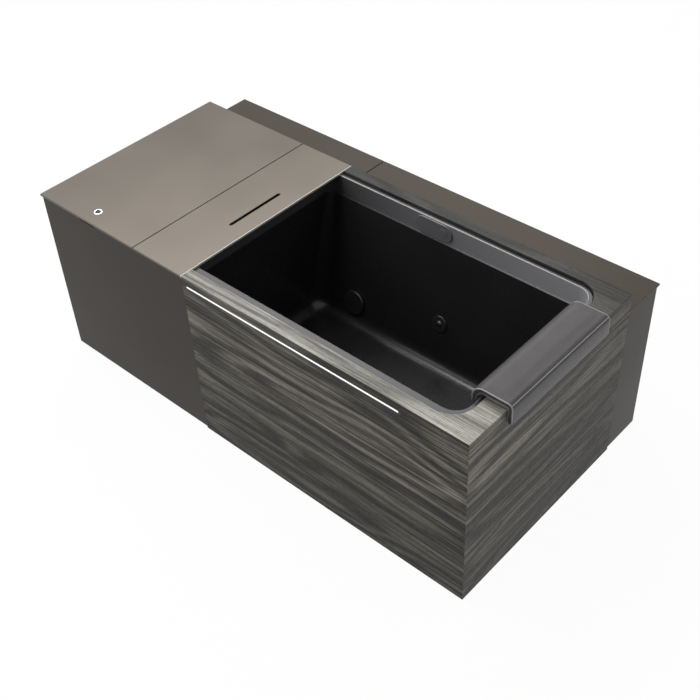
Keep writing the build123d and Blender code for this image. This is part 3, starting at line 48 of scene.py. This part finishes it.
CAMERA_AT = (2.1368, -2.1875, 2.9026)
CAMERA_TARGET = (0.1697, -0.1386, 0.35)
CAMERA_ROLL = math.radians(-3.0104)
CAMERA_LENS_MM = 57.77
SENSOR_MM = 36


def put_in_scene(piece):
    """Links a new object and hands it back."""
    bpy.context.scene.collection.objects.link(piece)
    return piece


def make_camera():
    """Looks down on the tub from the headrest's front corner, with a slight roll."""
    camera = bpy.data.cameras.new("camera")
    camera.lens = CAMERA_LENS_MM
    camera.sensor_width = SENSOR_MM
    camera.sensor_height = SENSOR_MM
    camera.clip_end = 60
    holder = put_in_scene(bpy.data.objects.new("camera", camera))
    forward = (Vector(CAMERA_TARGET) - Vector(CAMERA_AT)).normalized()
    right = forward.cross(Vector((0, 0, 1))).normalized()
    up = right.cross(forward)
    rolled_right = right * math.cos(CAMERA_ROLL) + up * math.sin(CAMERA_ROLL)
    rolled_up = up * math.cos(CAMERA_ROLL) - right * math.sin(CAMERA_ROLL)
    matrix = holder.matrix_world.to_3x3()
    matrix.col[0] = rolled_right
    matrix.col[1] = rolled_up
    matrix.col[2] = -forward
    holder.matrix_world = matrix.to_4x4()
    holder.location = CAMERA_AT
    bpy.context.scene.camera = holder


make_camera()
bpy.context.scene.view_settings.view_transform = "Standard"


class Shader:
    """Builds one node material step by step."""

    def __init__(self, name):
        self.material = bpy.data.materials.new(name)
        self.material.use_nodes = True
        self.tree = self.material.node_tree
        self.tree.nodes.clear()
        self.out = self.add("ShaderNodeOutputMaterial")
        self.base = self.add("ShaderNodeBsdfPrincipled")
        self.link(self.base.outputs["BSDF"], self.out.inputs["Surface"])
        self.place = self.add("ShaderNodeTexCoord").outputs["Object"]

    def add(self, kind, **settings):
        node = self.tree.nodes.new(kind)
        for name, value in settings.items():
            setattr(node, name, value)
        return node

    def link(self, a, b):
        self.tree.links.new(a, b)

    def put(self, socket, value):
        """Sets a socket to a value, or links it to another socket."""
        if isinstance(value, bpy.types.NodeSocket):
            self.link(value, socket)
        else:
            socket.default_value = value

    def stretched(self, scale):
        """Object coordinates scaled along each axis."""
        mapping = self.add("ShaderNodeMapping")
        self.link(self.place, mapping.inputs["Vector"])
        mapping.inputs["Scale"].default_value = scale
        return mapping.outputs["Vector"]

    def noise(self, scale, detail, roughness=0.55):
        """Cloudy noise over the object, with its own scale along each axis."""
        node = self.add("ShaderNodeTexNoise")
        self.link(self.stretched(scale), node.inputs["Vector"])
        node.inputs["Scale"].default_value = 1.0
        node.inputs["Detail"].default_value = detail
        node.inputs["Roughness"].default_value = roughness
        return node.outputs["Fac"]

    def even(self, scale, detail):
        """Cloudy noise with the same scale along every axis."""
        return self.noise((scale,) * 3, detail)

    def along(self, axis):
        """The place along one axis."""
        split = self.add("ShaderNodeSeparateXYZ")
        self.link(self.place, split.inputs[0])
        return split.outputs[axis]

    def share(self, value, limits, results=(0.0, 1.0), smooth=False):
        """Maps a value from one pair of limits to another, held at both ends."""
        node = self.add("ShaderNodeMapRange", interpolation_type="SMOOTHSTEP" if smooth else "LINEAR")
        self.link(value, node.inputs["Value"])
        node.inputs["From Min"].default_value, node.inputs["From Max"].default_value = limits
        node.inputs["To Min"].default_value, node.inputs["To Max"].default_value = results
        return node.outputs["Result"]

    def ramp(self, value, stops):
        """A colour ramp; stops are (position, colour) with a grey number or an rgb triple."""
        node = self.add("ShaderNodeValToRGB")
        self.link(value, node.inputs["Fac"])
        elements = node.color_ramp.elements
        while len(elements) < len(stops):
            elements.new(0.5)
        for element, (position, colour) in zip(elements, stops):
            element.position = position
            rgb = (colour,) * 3 if isinstance(colour, (int, float)) else colour
            element.color = (*rgb, 1)
        return node.outputs["Color"]

    def mix(self, factor, a, b, blend="MIX"):
        node = self.add("ShaderNodeMix", data_type="RGBA", blend_type=blend)
        self.put(node.inputs["Factor"], factor)
        for socket, value in ((node.inputs["A"], a), (node.inputs["B"], b)):
            if not isinstance(value, bpy.types.NodeSocket):
                value = (*value, 1)
            self.put(socket, value)
        return node.outputs["Result"]

    def math(self, operation, a, b=0.0):
        node = self.add("ShaderNodeMath", operation=operation)
        self.put(node.inputs[0], a)
        self.put(node.inputs[1], b)
        return node.outputs[0]

    def bump(self, height, strength, distance):
        node = self.add("ShaderNodeBump")
        self.link(height, node.inputs["Height"])
        node.inputs["Strength"].default_value = strength
        node.inputs["Distance"].default_value = distance
        self.link(node.outputs["Normal"], self.base.inputs["Normal"])

    def set(self, **values):
        for name, value in values.items():
            self.put(self.base.inputs[name.replace("_", " ")], value)
        return self


def srgb(r, g, b):
    """Turns an 8-bit colour as seen on screen into linear light."""
    def one(v):
        v = v / 255
        return v / 12.92 if v <= 0.04045 else ((v + 0.055) / 1.055) ** 2.4
    return (one(r), one(g), one(b))


def shaded(rgb, factor):
    """The same colour, lighter or darker."""
    return tuple(v * factor for v in rgb)


def satin_metal(name, rgb, roughness=0.36, metallic=0.85, edge_highlight_from=None):
    """Bead-blasted anodised sheet with fine grain; the last argument is where a painted highlight along the right
    edge starts, a light colour standing in for the bevel catching the light.
    """
    s = Shader(name)
    cloud = s.even(3, 3)
    grain = s.even(900, 2)
    colour = s.mix(s.ramp(cloud, ((0.3, 0.0), (0.7, 1.0))), shaded(rgb, 0.94), shaded(rgb, 1.05))
    if edge_highlight_from is not None:
        # painted highlight: past this X the sheet is coloured light as if its right bevel caught the light
        painted_highlight = s.math("GREATER_THAN", s.along("X"), edge_highlight_from)
        colour = s.mix(painted_highlight, colour, srgb(226, 221, 212))
    s.set(Base_Color=colour, Metallic=metallic, Specular_IOR_Level=0.1)
    s.put(s.base.inputs["Roughness"], s.ramp(cloud, ((0.3, roughness - 0.03), (0.7, roughness + 0.03))))
    s.bump(grain, 0.06, 0.0004)
    return s.material


def wood(name, along, dark, middle, light, gloss=0.42, fineness=1.5, shade_rows=()):
    """Streaked open-grain veneer along one axis; the shade rows are painted shade, darkening or lightening the
    board between two places as the light falls across it.
    """
    s = Shader(name)
    long_axis = "XYZ".index(along)

    def grained(across, stretch, detail, roughness):
        scale = [across] * 3
        scale[long_axis] = across * stretch
        return s.noise(tuple(scale), detail, roughness)

    slow = grained(3.4, 0.16, 2, 0.5)
    rings = s.math("SINE", s.math("MULTIPLY", slow, 80))
    rings = s.math("MULTIPLY_ADD", rings, 0.5)
    rings.node.inputs[2].default_value = 0.5
    bands = grained(30 * fineness, 0.016, 3, 0.6)
    lines = grained(150 * fineness, 0.014, 4, 0.72)
    pores = grained(480 * fineness, 0.05, 2, 0.6)
    board = grained(7, 0.06, 2, 0.55)
    streak = s.math("ADD", s.math("MULTIPLY", bands, 0.27), s.math("MULTIPLY", lines, 0.63))
    streak = s.math("ADD", streak, s.math("MULTIPLY", rings, 0.1))
    colour = s.ramp(streak, ((0.41, dark), (0.5, middle), (0.6, light)))
    colour = s.mix(1.0, colour, s.ramp(board, ((0.36, 0.82), (0.64, 1.12))), "MULTIPLY")
    colour = s.mix(0.7, colour, s.ramp(pores, ((0.36, 0.4), (0.47, 1.0))), "MULTIPLY")
    # painted shade: each row multiplies the colour by a ramp between two places
    for axis, start, end, low, high in shade_rows:
        shade_factor = s.share(s.along(axis), (start, end), (low, high), smooth=True)
        colour = s.mix(1.0, colour, shade_factor, "MULTIPLY")
    s.set(Base_Color=colour, Specular_IOR_Level=0.14)
    s.put(s.base.inputs["Roughness"], s.ramp(pores, ((0.35, gloss + 0.25), (0.5, gloss))))
    relief = s.math("ADD", s.math("MULTIPLY", pores, 0.5), s.math("MULTIPLY", lines, 0.5))
    s.bump(relief, 0.3, 0.0008)
    return s.material


def moulded(name, rgb, roughness=0.4, grain=600, depth=0.05):
    """Moulded plastic or rubber with a fine skin texture."""
    s = Shader(name)
    fine = s.even(grain, 3)
    cloud = s.even(5, 2)
    colour = s.mix(s.ramp(cloud, ((0.3, 0.0), (0.7, 1.0))), shaded(rgb, 0.92), shaded(rgb, 1.08))
    s.set(Base_Color=colour)
    s.put(s.base.inputs["Roughness"], s.ramp(fine, ((0.3, max(roughness - 0.05, 0.02)), (0.7, roughness + 0.05))))
    s.bump(fine, depth, 0.0005)
    return s.material


def brushed(name, rgb, along="X", roughness=0.32):
    """Brushed or plated steel with lines along one axis."""
    s = Shader(name)
    stretch = [900.0, 900.0, 900.0]
    stretch["XYZ".index(along)] = 8.0
    lines = s.noise(tuple(stretch), 2)
    colour = s.mix(s.ramp(lines, ((0.3, 0.0), (0.7, 1.0))), shaded(rgb, 0.88), shaded(rgb, 1.06))
    s.set(Base_Color=colour, Metallic=1.0)
    s.put(s.base.inputs["Roughness"], s.ramp(lines, ((0.3, roughness - 0.06), (0.7, roughness + 0.06))))
    s.bump(lines, 0.08, 0.0003)
    return s.material


def leather(name, rgb):
    """Pebbled soft skin with tiny creases."""
    s = Shader(name)
    cells = s.add("ShaderNodeTexVoronoi", feature="DISTANCE_TO_EDGE")
    s.link(s.stretched((420, 420, 420)), cells.inputs["Vector"])
    cells.inputs["Scale"].default_value = 1.0
    crease = s.ramp(cells.outputs["Distance"], ((0.0, 0.0), (0.16, 1.0)))
    cloud = s.even(14, 3)
    colour = s.mix(s.ramp(cloud, ((0.3, 0.0), (0.7, 1.0))), shaded(rgb, 0.9), shaded(rgb, 1.1))
    # painted shade: the creases between the pebbles are darkened in the colour
    colour = s.mix(0.35, colour, crease, "MULTIPLY")
    s.set(Base_Color=colour, Roughness=0.37, Sheen_Weight=0.05, Specular_IOR_Level=0.32)
    s.bump(crease, 0.22, 0.0006)
    return s.material


def glow(name, rgb, strength):
    """Opal lens lit from behind, a little uneven along its length."""
    s = Shader(name)
    cloud = s.even(9, 2)
    colour = s.mix(s.ramp(cloud, ((0.3, 0.0), (0.7, 1.0))), shaded(rgb, 0.96), rgb)
    s.set(Base_Color=colour, Roughness=0.35, Emission_Strength=strength)
    s.link(colour, s.base.inputs["Emission Color"])
    return s.material


def ripple(name, rgb, roughness, lit_collar, lit_collar_far):
    """Basin acrylic: near-black satin, with painted light: the collar painted lighter and lighter still towards
    the far end, the flange painted lighter as if lit from above, and painted highlights along the arris and the
    step.
    """
    s = Shader(name)
    swell = s.even(7, 2)
    fine = s.even(700, 2)
    height = s.along("Z")
    # painted light: above the step the collar is painted lighter, rising along X as if it caught light and
    # reflection
    above = s.math("GREATER_THAN", height, 0.6085)
    far = s.share(s.along("X"), (-0.25, 0.8))
    painted_light_band = s.mix(far, lit_collar, lit_collar_far)
    body = s.mix(s.ramp(swell, ((0.3, 0.0), (0.7, 1.0))), shaded(rgb, 0.93), shaded(rgb, 1.07))
    colour = s.mix(above, body, painted_light_band)
    # painted highlight on the step, dimmer near the cabinet
    step = s.mix(far, shaded(lit_collar, 0.7), shaded(lit_collar_far, 0.9))
    # painted highlight along the arris, the flange painted lighter as if lit, then the step's painted highlight
    for low, high, edge in ((0.6862, 0.6893, srgb(176, 176, 176)), (0.6893, 0.7, srgb(44, 44, 46)),
                            (0.6085, 0.6112, step)):
        inside = s.math("MULTIPLY", s.math("GREATER_THAN", height, low), s.math("LESS_THAN", height, high))
        colour = s.mix(inside, colour, edge)
    s.set(Base_Color=colour, Specular_IOR_Level=0.32)
    s.put(s.base.inputs["Roughness"], s.ramp(fine, ((0.3, roughness - 0.03), (0.7, roughness + 0.03))))
    s.bump(fine, 0.04, 0.0003)
    return s.material


PLATE = srgb(97, 91, 84)
LEDGE = srgb(62, 57, 50)
CABINET = srgb(50, 45, 39)

MATERIALS = {
    "plate_metal": satin_metal("plate_metal", PLATE, 0.36, 0.75),
    # the access cover gets a painted highlight along its right bevel
    "cover_metal": satin_metal("cover_metal", PLATE, 0.36, 0.75, CORNER.x + 0.7438),
    "ledge_metal": satin_metal("ledge_metal", LEDGE, 0.45, 0.45),
    "cabinet_metal": satin_metal("cabinet_metal", CABINET, 0.42, 0.5),
    "back_sheet": satin_metal("back_sheet", shaded(CABINET, 0.8), 0.45, 0.5),
    # painted shade: the front board is darker towards the floor, the end board darker towards the back and the
    # floor, the deck darker towards the back (to 15 %) and near the cabinet
    "wood_front": wood("wood_front", "X", srgb(30, 28, 25), srgb(60, 57, 51), srgb(116, 112, 103),
                       shade_rows=[("Z", 0.0, 0.62, 0.55, 1.12)]),
    "wood_end": wood("wood_end", "Y", srgb(36, 34, 31), srgb(64, 61, 55), srgb(116, 112, 104),
                     shade_rows=[("Y", -0.45, 0.32, 1.15, 0.66), ("Z", 0.0, 0.65, 0.6, 1.15)]),
    "wood_deck": wood("wood_deck", "X", srgb(98, 97, 90), srgb(140, 138, 130), srgb(182, 180, 171), 0.36, 2.0,
                      shade_rows=[("Y", -0.4, 0.24, 1.0, 0.15), ("X", -0.22, 0.85, 0.62, 1.0)]),
    # the last two colours are the collar's painted light, near the cabinet and at the far end
    "basin_acrylic": ripple("basin_acrylic", srgb(26, 26, 27), 0.27, srgb(54, 54, 56), srgb(138, 138, 140)),
    "foam": moulded("foam", (0.62, 0.53, 0.28), 0.9, 260, 0.3),
    "back_board": moulded("back_board", (0.04, 0.04, 0.04), 0.6),
    "frame_steel": moulded("frame_steel", (0.022, 0.022, 0.024), 0.5, 900, 0.15),
    "foot_steel": brushed("foot_steel", (0.5, 0.5, 0.5), "X"),
    "tray_steel": brushed("tray_steel", (0.5, 0.5, 0.49), "X"),
    "hinge_steel": brushed("hinge_steel", (0.5, 0.5, 0.5), "X"),
    "screw_steel": brushed("screw_steel", (0.4, 0.4, 0.4), "X"),
    "bracket_steel": brushed("bracket_steel", (0.55, 0.55, 0.55), "Y"),
    "magnet": brushed("magnet", (0.6, 0.6, 0.62), "Z"),
    "chrome": brushed("chrome", (0.6, 0.6, 0.61), "Z", 0.12),
    "button_steel": brushed("button_steel", (0.06, 0.06, 0.06), "X", 0.2),
    "channel_black": moulded("channel_black", (0.01, 0.01, 0.01), 0.5),
    "light_lens": glow("light_lens", (0.92, 0.92, 0.9), 0.35),
    "black_plastic": moulded("black_plastic", (0.012, 0.012, 0.012), 0.5),
    "rubber_black": moulded("rubber_black", (0.01, 0.01, 0.01), 0.75, 400, 0.15),
    "control_gloss": moulded("control_gloss", srgb(88, 88, 90), 0.35, 600, 0.03),
    "fitting_plastic": moulded("fitting_plastic", srgb(27, 27, 28), 0.34, 600, 0.03),
    "pipe_plastic": moulded("pipe_plastic", (0.62, 0.62, 0.6), 0.4),
    "lever_plastic": moulded("lever_plastic", (0.35, 0.02, 0.015), 0.35),
    "chiller_metal": moulded("chiller_metal", (0.42, 0.42, 0.41), 0.5, 900, 0.15),
    "motor_metal": moulded("motor_metal", (0.03, 0.04, 0.06), 0.45, 900, 0.15),
    "filter_grey": moulded("filter_grey", (0.12, 0.125, 0.13), 0.45),
    "filter_cloth": moulded("filter_cloth", (0.72, 0.72, 0.7), 0.95, 900, 0.4),
    "headrest_skin": leather("headrest_skin", srgb(58, 55, 57)),
    # painted highlight: the piping and seam are coloured light to stand in for the bright lines along the pad's
    # edges
    "headrest_welt": leather("headrest_welt", srgb(150, 147, 149)),
}
SPECIAL = {
    "wood_front_panel": "wood_front",
    "wood_end_panel": "wood_end",
    "access_cover": "cover_metal",
    "latch_button": "button_steel",
    "ledge_top_left": "ledge_metal",
    "ledge_top_right": "ledge_metal",
}


def dress_nodes():
    """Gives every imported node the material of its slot."""
    slots = {row["node"]: row["material_slot"] for row in frame["record"]["subparts"]}
    for name, piece in NODES.items():
        material = MATERIALS[SPECIAL.get(name, slots[name])]
        piece.data.materials.clear()
        piece.data.materials.append(material)


dress_nodes()


# The headrest's outline, in metres in the shared frame
ROLL = Vector((CORNER.x + 1.822, 0.0, 0.692))
ROLL_RADIUS = 0.040
PAD_OUTER_X = 0.961
PAD_TOP = 0.732
PAD_BEND = 0.018
PAD_LEG_BOTTOM = 0.655
PAD_LOBE_BOTTOM = 0.664
PAD_ENDS = (CORNER.y + 0.165, CORNER.y + 0.655)


def smooth_step(value):
    """Eases from 0 to 1, flat at both ends."""
    value = min(max(value, 0.0), 1.0)
    return value * value * (3 - 2 * value)


def crown_at(place, normal):
    """How far the stuffed skin swells at a place, from its seams to the middle of each panel."""
    x, y, z = place
    if x < ROLL.x:
        outward = Vector((x - ROLL.x, 0, z - ROLL.z))
    else:
        outward = Vector((max(normal.x, 0.0), 0, max(normal.z, 0.0)))
    if outward.length < 1e-6 or normal.dot(outward.normalized()) < 0.35:
        return 0.0
    ends = smooth_step(min(y - PAD_ENDS[0], PAD_ENDS[1] - y) / 0.035)
    if normal.x > 0.75 and x > ROLL.x:
        height = (z - PAD_LEG_BOTTOM) / (PAD_TOP - PAD_BEND - PAD_LEG_BOTTOM)
        across = math.sin(math.pi * min(max(height, 0.0), 1.0))
        return 0.0012 * across * ends
    if x < ROLL.x:
        return 0.0016 * ends
    across = smooth_step((PAD_OUTER_X - PAD_BEND - x) / 0.04)
    return 0.0018 * across * ends


def make_cushion():
    """The soft pad: the node's own form, reskinned evenly, softened and swelled between its seams."""
    source = NODES["headrest_pad"]
    piece = put_in_scene(bpy.data.objects.new("headrest_cushion", source.data.copy()))
    piece.matrix_world = source.matrix_world
    skin = piece.modifiers.new("skin", "REMESH")
    skin.mode = "VOXEL"
    skin.voxel_size = 0.0026
    soften = piece.modifiers.new("soften", "SMOOTH")
    soften.factor = 0.5
    soften.iterations = 6
    graph = bpy.context.evaluated_depsgraph_get()
    mesh = bpy.data.meshes.new_from_object(piece.evaluated_get(graph))
    piece.modifiers.clear()
    piece.data = mesh
    matrix = piece.matrix_world
    turn = matrix.to_3x3()
    back = matrix.inverted()
    moved = []
    for vertex in mesh.vertices:
        place = matrix @ vertex.co
        normal = (turn @ vertex.normal).normalized()
        moved.append(back @ (place + normal * (0.0004 + crown_at(place, normal))))
    for vertex, place in zip(mesh.vertices, moved):
        vertex.co = place
    for face in mesh.polygons:
        face.use_smooth = True
    mesh.materials.clear()
    mesh.materials.append(MATERIALS["headrest_skin"])
    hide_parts("headrest_pad")
    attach(piece, "headrest")


def arc(centre, radius, start, end, count):
    """Places on an arc seen along the tub's width, angles in degrees."""
    places = []
    for step in range(count + 1):
        angle = math.radians(start + (end - start) * step / count)
        places.append((centre[0] + radius * math.cos(angle), centre[1] + radius * math.sin(angle)))
    return places


def pad_profile(inset):
    """The outer line of the saddle from the basin side over to the outer leg."""
    left = ROLL.x - ROLL_RADIUS + inset
    right = PAD_OUTER_X - inset
    line = [(left, PAD_LOBE_BOTTOM + 0.006)]
    line += arc((ROLL.x, ROLL.z), ROLL_RADIUS - inset, 180, 90, 12)
    line += arc((PAD_OUTER_X - PAD_BEND, PAD_TOP - PAD_BEND), PAD_BEND - inset, 90, 0, 8)
    line.append((right, PAD_LEG_BOTTOM + 0.006))
    return line


def tube(name, path, radius, material, beading=0.0):
    """A round cord along a path, closed at its ends, with slight beading along it."""
    mesh = bpy.data.meshes.new(name)
    shape = bmesh.new()
    sides = 10
    rings = []
    for number, place in enumerate(path):
        before = path[max(number - 1, 0)]
        after = path[min(number + 1, len(path) - 1)]
        along = (after - before).normalized()
        across = along.cross(Vector((0.31, 0.87, 0.39))).normalized()
        other = along.cross(across)
        size = radius * (1 + beading * math.sin(number * 2.1) * math.cos(number * 0.7))
        ring = []
        for side in range(sides):
            angle = 2 * math.pi * side / sides
            ring.append(shape.verts.new(place + (across * math.cos(angle) + other * math.sin(angle)) * size))
        rings.append(ring)
    for first, second in zip(rings, rings[1:]):
        for side in range(sides):
            following = (side + 1) % sides
            shape.faces.new((first[side], first[following], second[following], second[side]))
    shape.faces.new(rings[0])
    shape.faces.new(rings[-1])
    bmesh.ops.recalc_face_normals(shape, faces=shape.faces)
    shape.to_mesh(mesh)
    shape.free()
    for face in mesh.polygons:
        face.use_smooth = len(face.vertices) == 4
    mesh.materials.append(material)
    piece = put_in_scene(bpy.data.objects.new(name, mesh))
    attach(piece, "headrest")


def make_welts():
    """Piping round both ends of the pad, and the beaded seam along its outer bend, both in a light colour that is
    a painted highlight along the edges.
    """
    ends = (("headrest_welt_near", PAD_ENDS[0] + 0.0016), ("headrest_welt_far", PAD_ENDS[1] - 0.0016))
    for name, y in ends:
        path = [Vector((x, y, z)) for x, z in pad_profile(0.0018)]
        tube(name, path, 0.0022, MATERIALS["headrest_welt"])
    reach = (PAD_BEND - 0.0003) * math.sqrt(0.5)
    x = PAD_OUTER_X - PAD_BEND + reach
    z = PAD_TOP - PAD_BEND + reach
    count = 160
    length = PAD_ENDS[1] - PAD_ENDS[0] - 0.008
    path = [Vector((x, PAD_ENDS[0] + 0.004 + length * step / count, z)) for step in range(count + 1)]
    tube("headrest_seam", path, 0.0013, MATERIALS["headrest_welt"], 0.35)


make_cushion()
make_welts()


def seen_rays(tree):
    """One for rays of the camera, of a reflection or through glass, and zero for light."""
    path = tree.nodes.new("ShaderNodeLightPath")
    share = path.outputs["Is Camera Ray"]
    for name in ("Is Glossy Ray", "Is Transmission Ray"):
        largest = tree.nodes.new("ShaderNodeMath")
        largest.operation = "MAXIMUM"
        tree.links.new(share, largest.inputs[0])
        tree.links.new(path.outputs[name], largest.inputs[1])
        share = largest.outputs[0]
    return share


def make_floor():
    """A white floor that still takes the object's shadow."""
    mesh = bpy.data.meshes.new("floor")
    shape = bmesh.new()
    bmesh.ops.create_grid(shape, x_segments=1, y_segments=1, size=14)
    shape.to_mesh(mesh)
    shape.free()
    floor = put_in_scene(bpy.data.objects.new("floor", mesh))
    material = bpy.data.materials.new("floor")
    material.use_nodes = True
    tree = material.node_tree
    tree.nodes.clear()
    out = tree.nodes.new("ShaderNodeOutputMaterial")
    diffuse = tree.nodes.new("ShaderNodeBsdfDiffuse")
    diffuse.inputs["Color"].default_value = (0.8, 0.8, 0.8, 1)
    bright = tree.nodes.new("ShaderNodeEmission")
    bright.inputs["Color"].default_value = (1, 1, 1, 1)
    mixer = tree.nodes.new("ShaderNodeMixShader")
    share = tree.nodes.new("ShaderNodeMath")
    share.operation = "MULTIPLY"
    share.inputs[1].default_value = 0.96
    tree.links.new(seen_rays(tree), share.inputs[0])
    tree.links.new(share.outputs[0], mixer.inputs[0])
    tree.links.new(diffuse.outputs[0], mixer.inputs[1])
    tree.links.new(bright.outputs[0], mixer.inputs[2])
    tree.links.new(mixer.outputs[0], out.inputs["Surface"])
    mesh.materials.append(material)


def make_world():
    """White to the camera and in reflections, and soft grey as light."""
    world = bpy.data.worlds.new("studio")
    bpy.context.scene.world = world
    world.use_nodes = True
    tree = world.node_tree
    tree.nodes.clear()
    out = tree.nodes.new("ShaderNodeOutputWorld")
    ambient = tree.nodes.new("ShaderNodeBackground")
    ambient.inputs["Color"].default_value = (1, 1, 1, 1)
    ambient.inputs["Strength"].default_value = 0.5
    white = tree.nodes.new("ShaderNodeBackground")
    white.inputs["Color"].default_value = (1, 1, 1, 1)
    white.inputs["Strength"].default_value = 1.0
    mixer = tree.nodes.new("ShaderNodeMixShader")
    tree.links.new(seen_rays(tree), mixer.inputs[0])
    tree.links.new(ambient.outputs[0], mixer.inputs[1])
    tree.links.new(white.outputs[0], mixer.inputs[2])
    tree.links.new(mixer.outputs[0], out.inputs["Surface"])


def make_lamp(name, place, target, size, watts):
    """A soft rectangular lamp aimed at a place."""
    lamp = bpy.data.lights.new(name, "AREA")
    lamp.shape = "RECTANGLE"
    lamp.size, lamp.size_y = size
    lamp.energy = watts
    holder = put_in_scene(bpy.data.objects.new(name, lamp))
    holder.location = place
    aim = Vector(target) - Vector(place)
    holder.rotation_euler = aim.to_track_quat("-Z", "Y").to_euler()


make_floor()
make_world()
make_lamp("top_softbox", (-2.6, 1.7, 4.2), (0, 0, 0.5), (6.0, 2.0), 170)
make_lamp("basin_strip", (-0.6, -0.6, 2.95), (0.4, 0.1, 0.2), (1.0, 0.16), 26)
make_lamp("front_fill", (-1.6, -3.4, 2.9), (0, 0, 0.4), (3.0, 2.0), 55)
make_lamp("end_fill", (3.8, 2.0, 2.8), (0.6, 0, 0.5), (2.0, 2.0), 22)
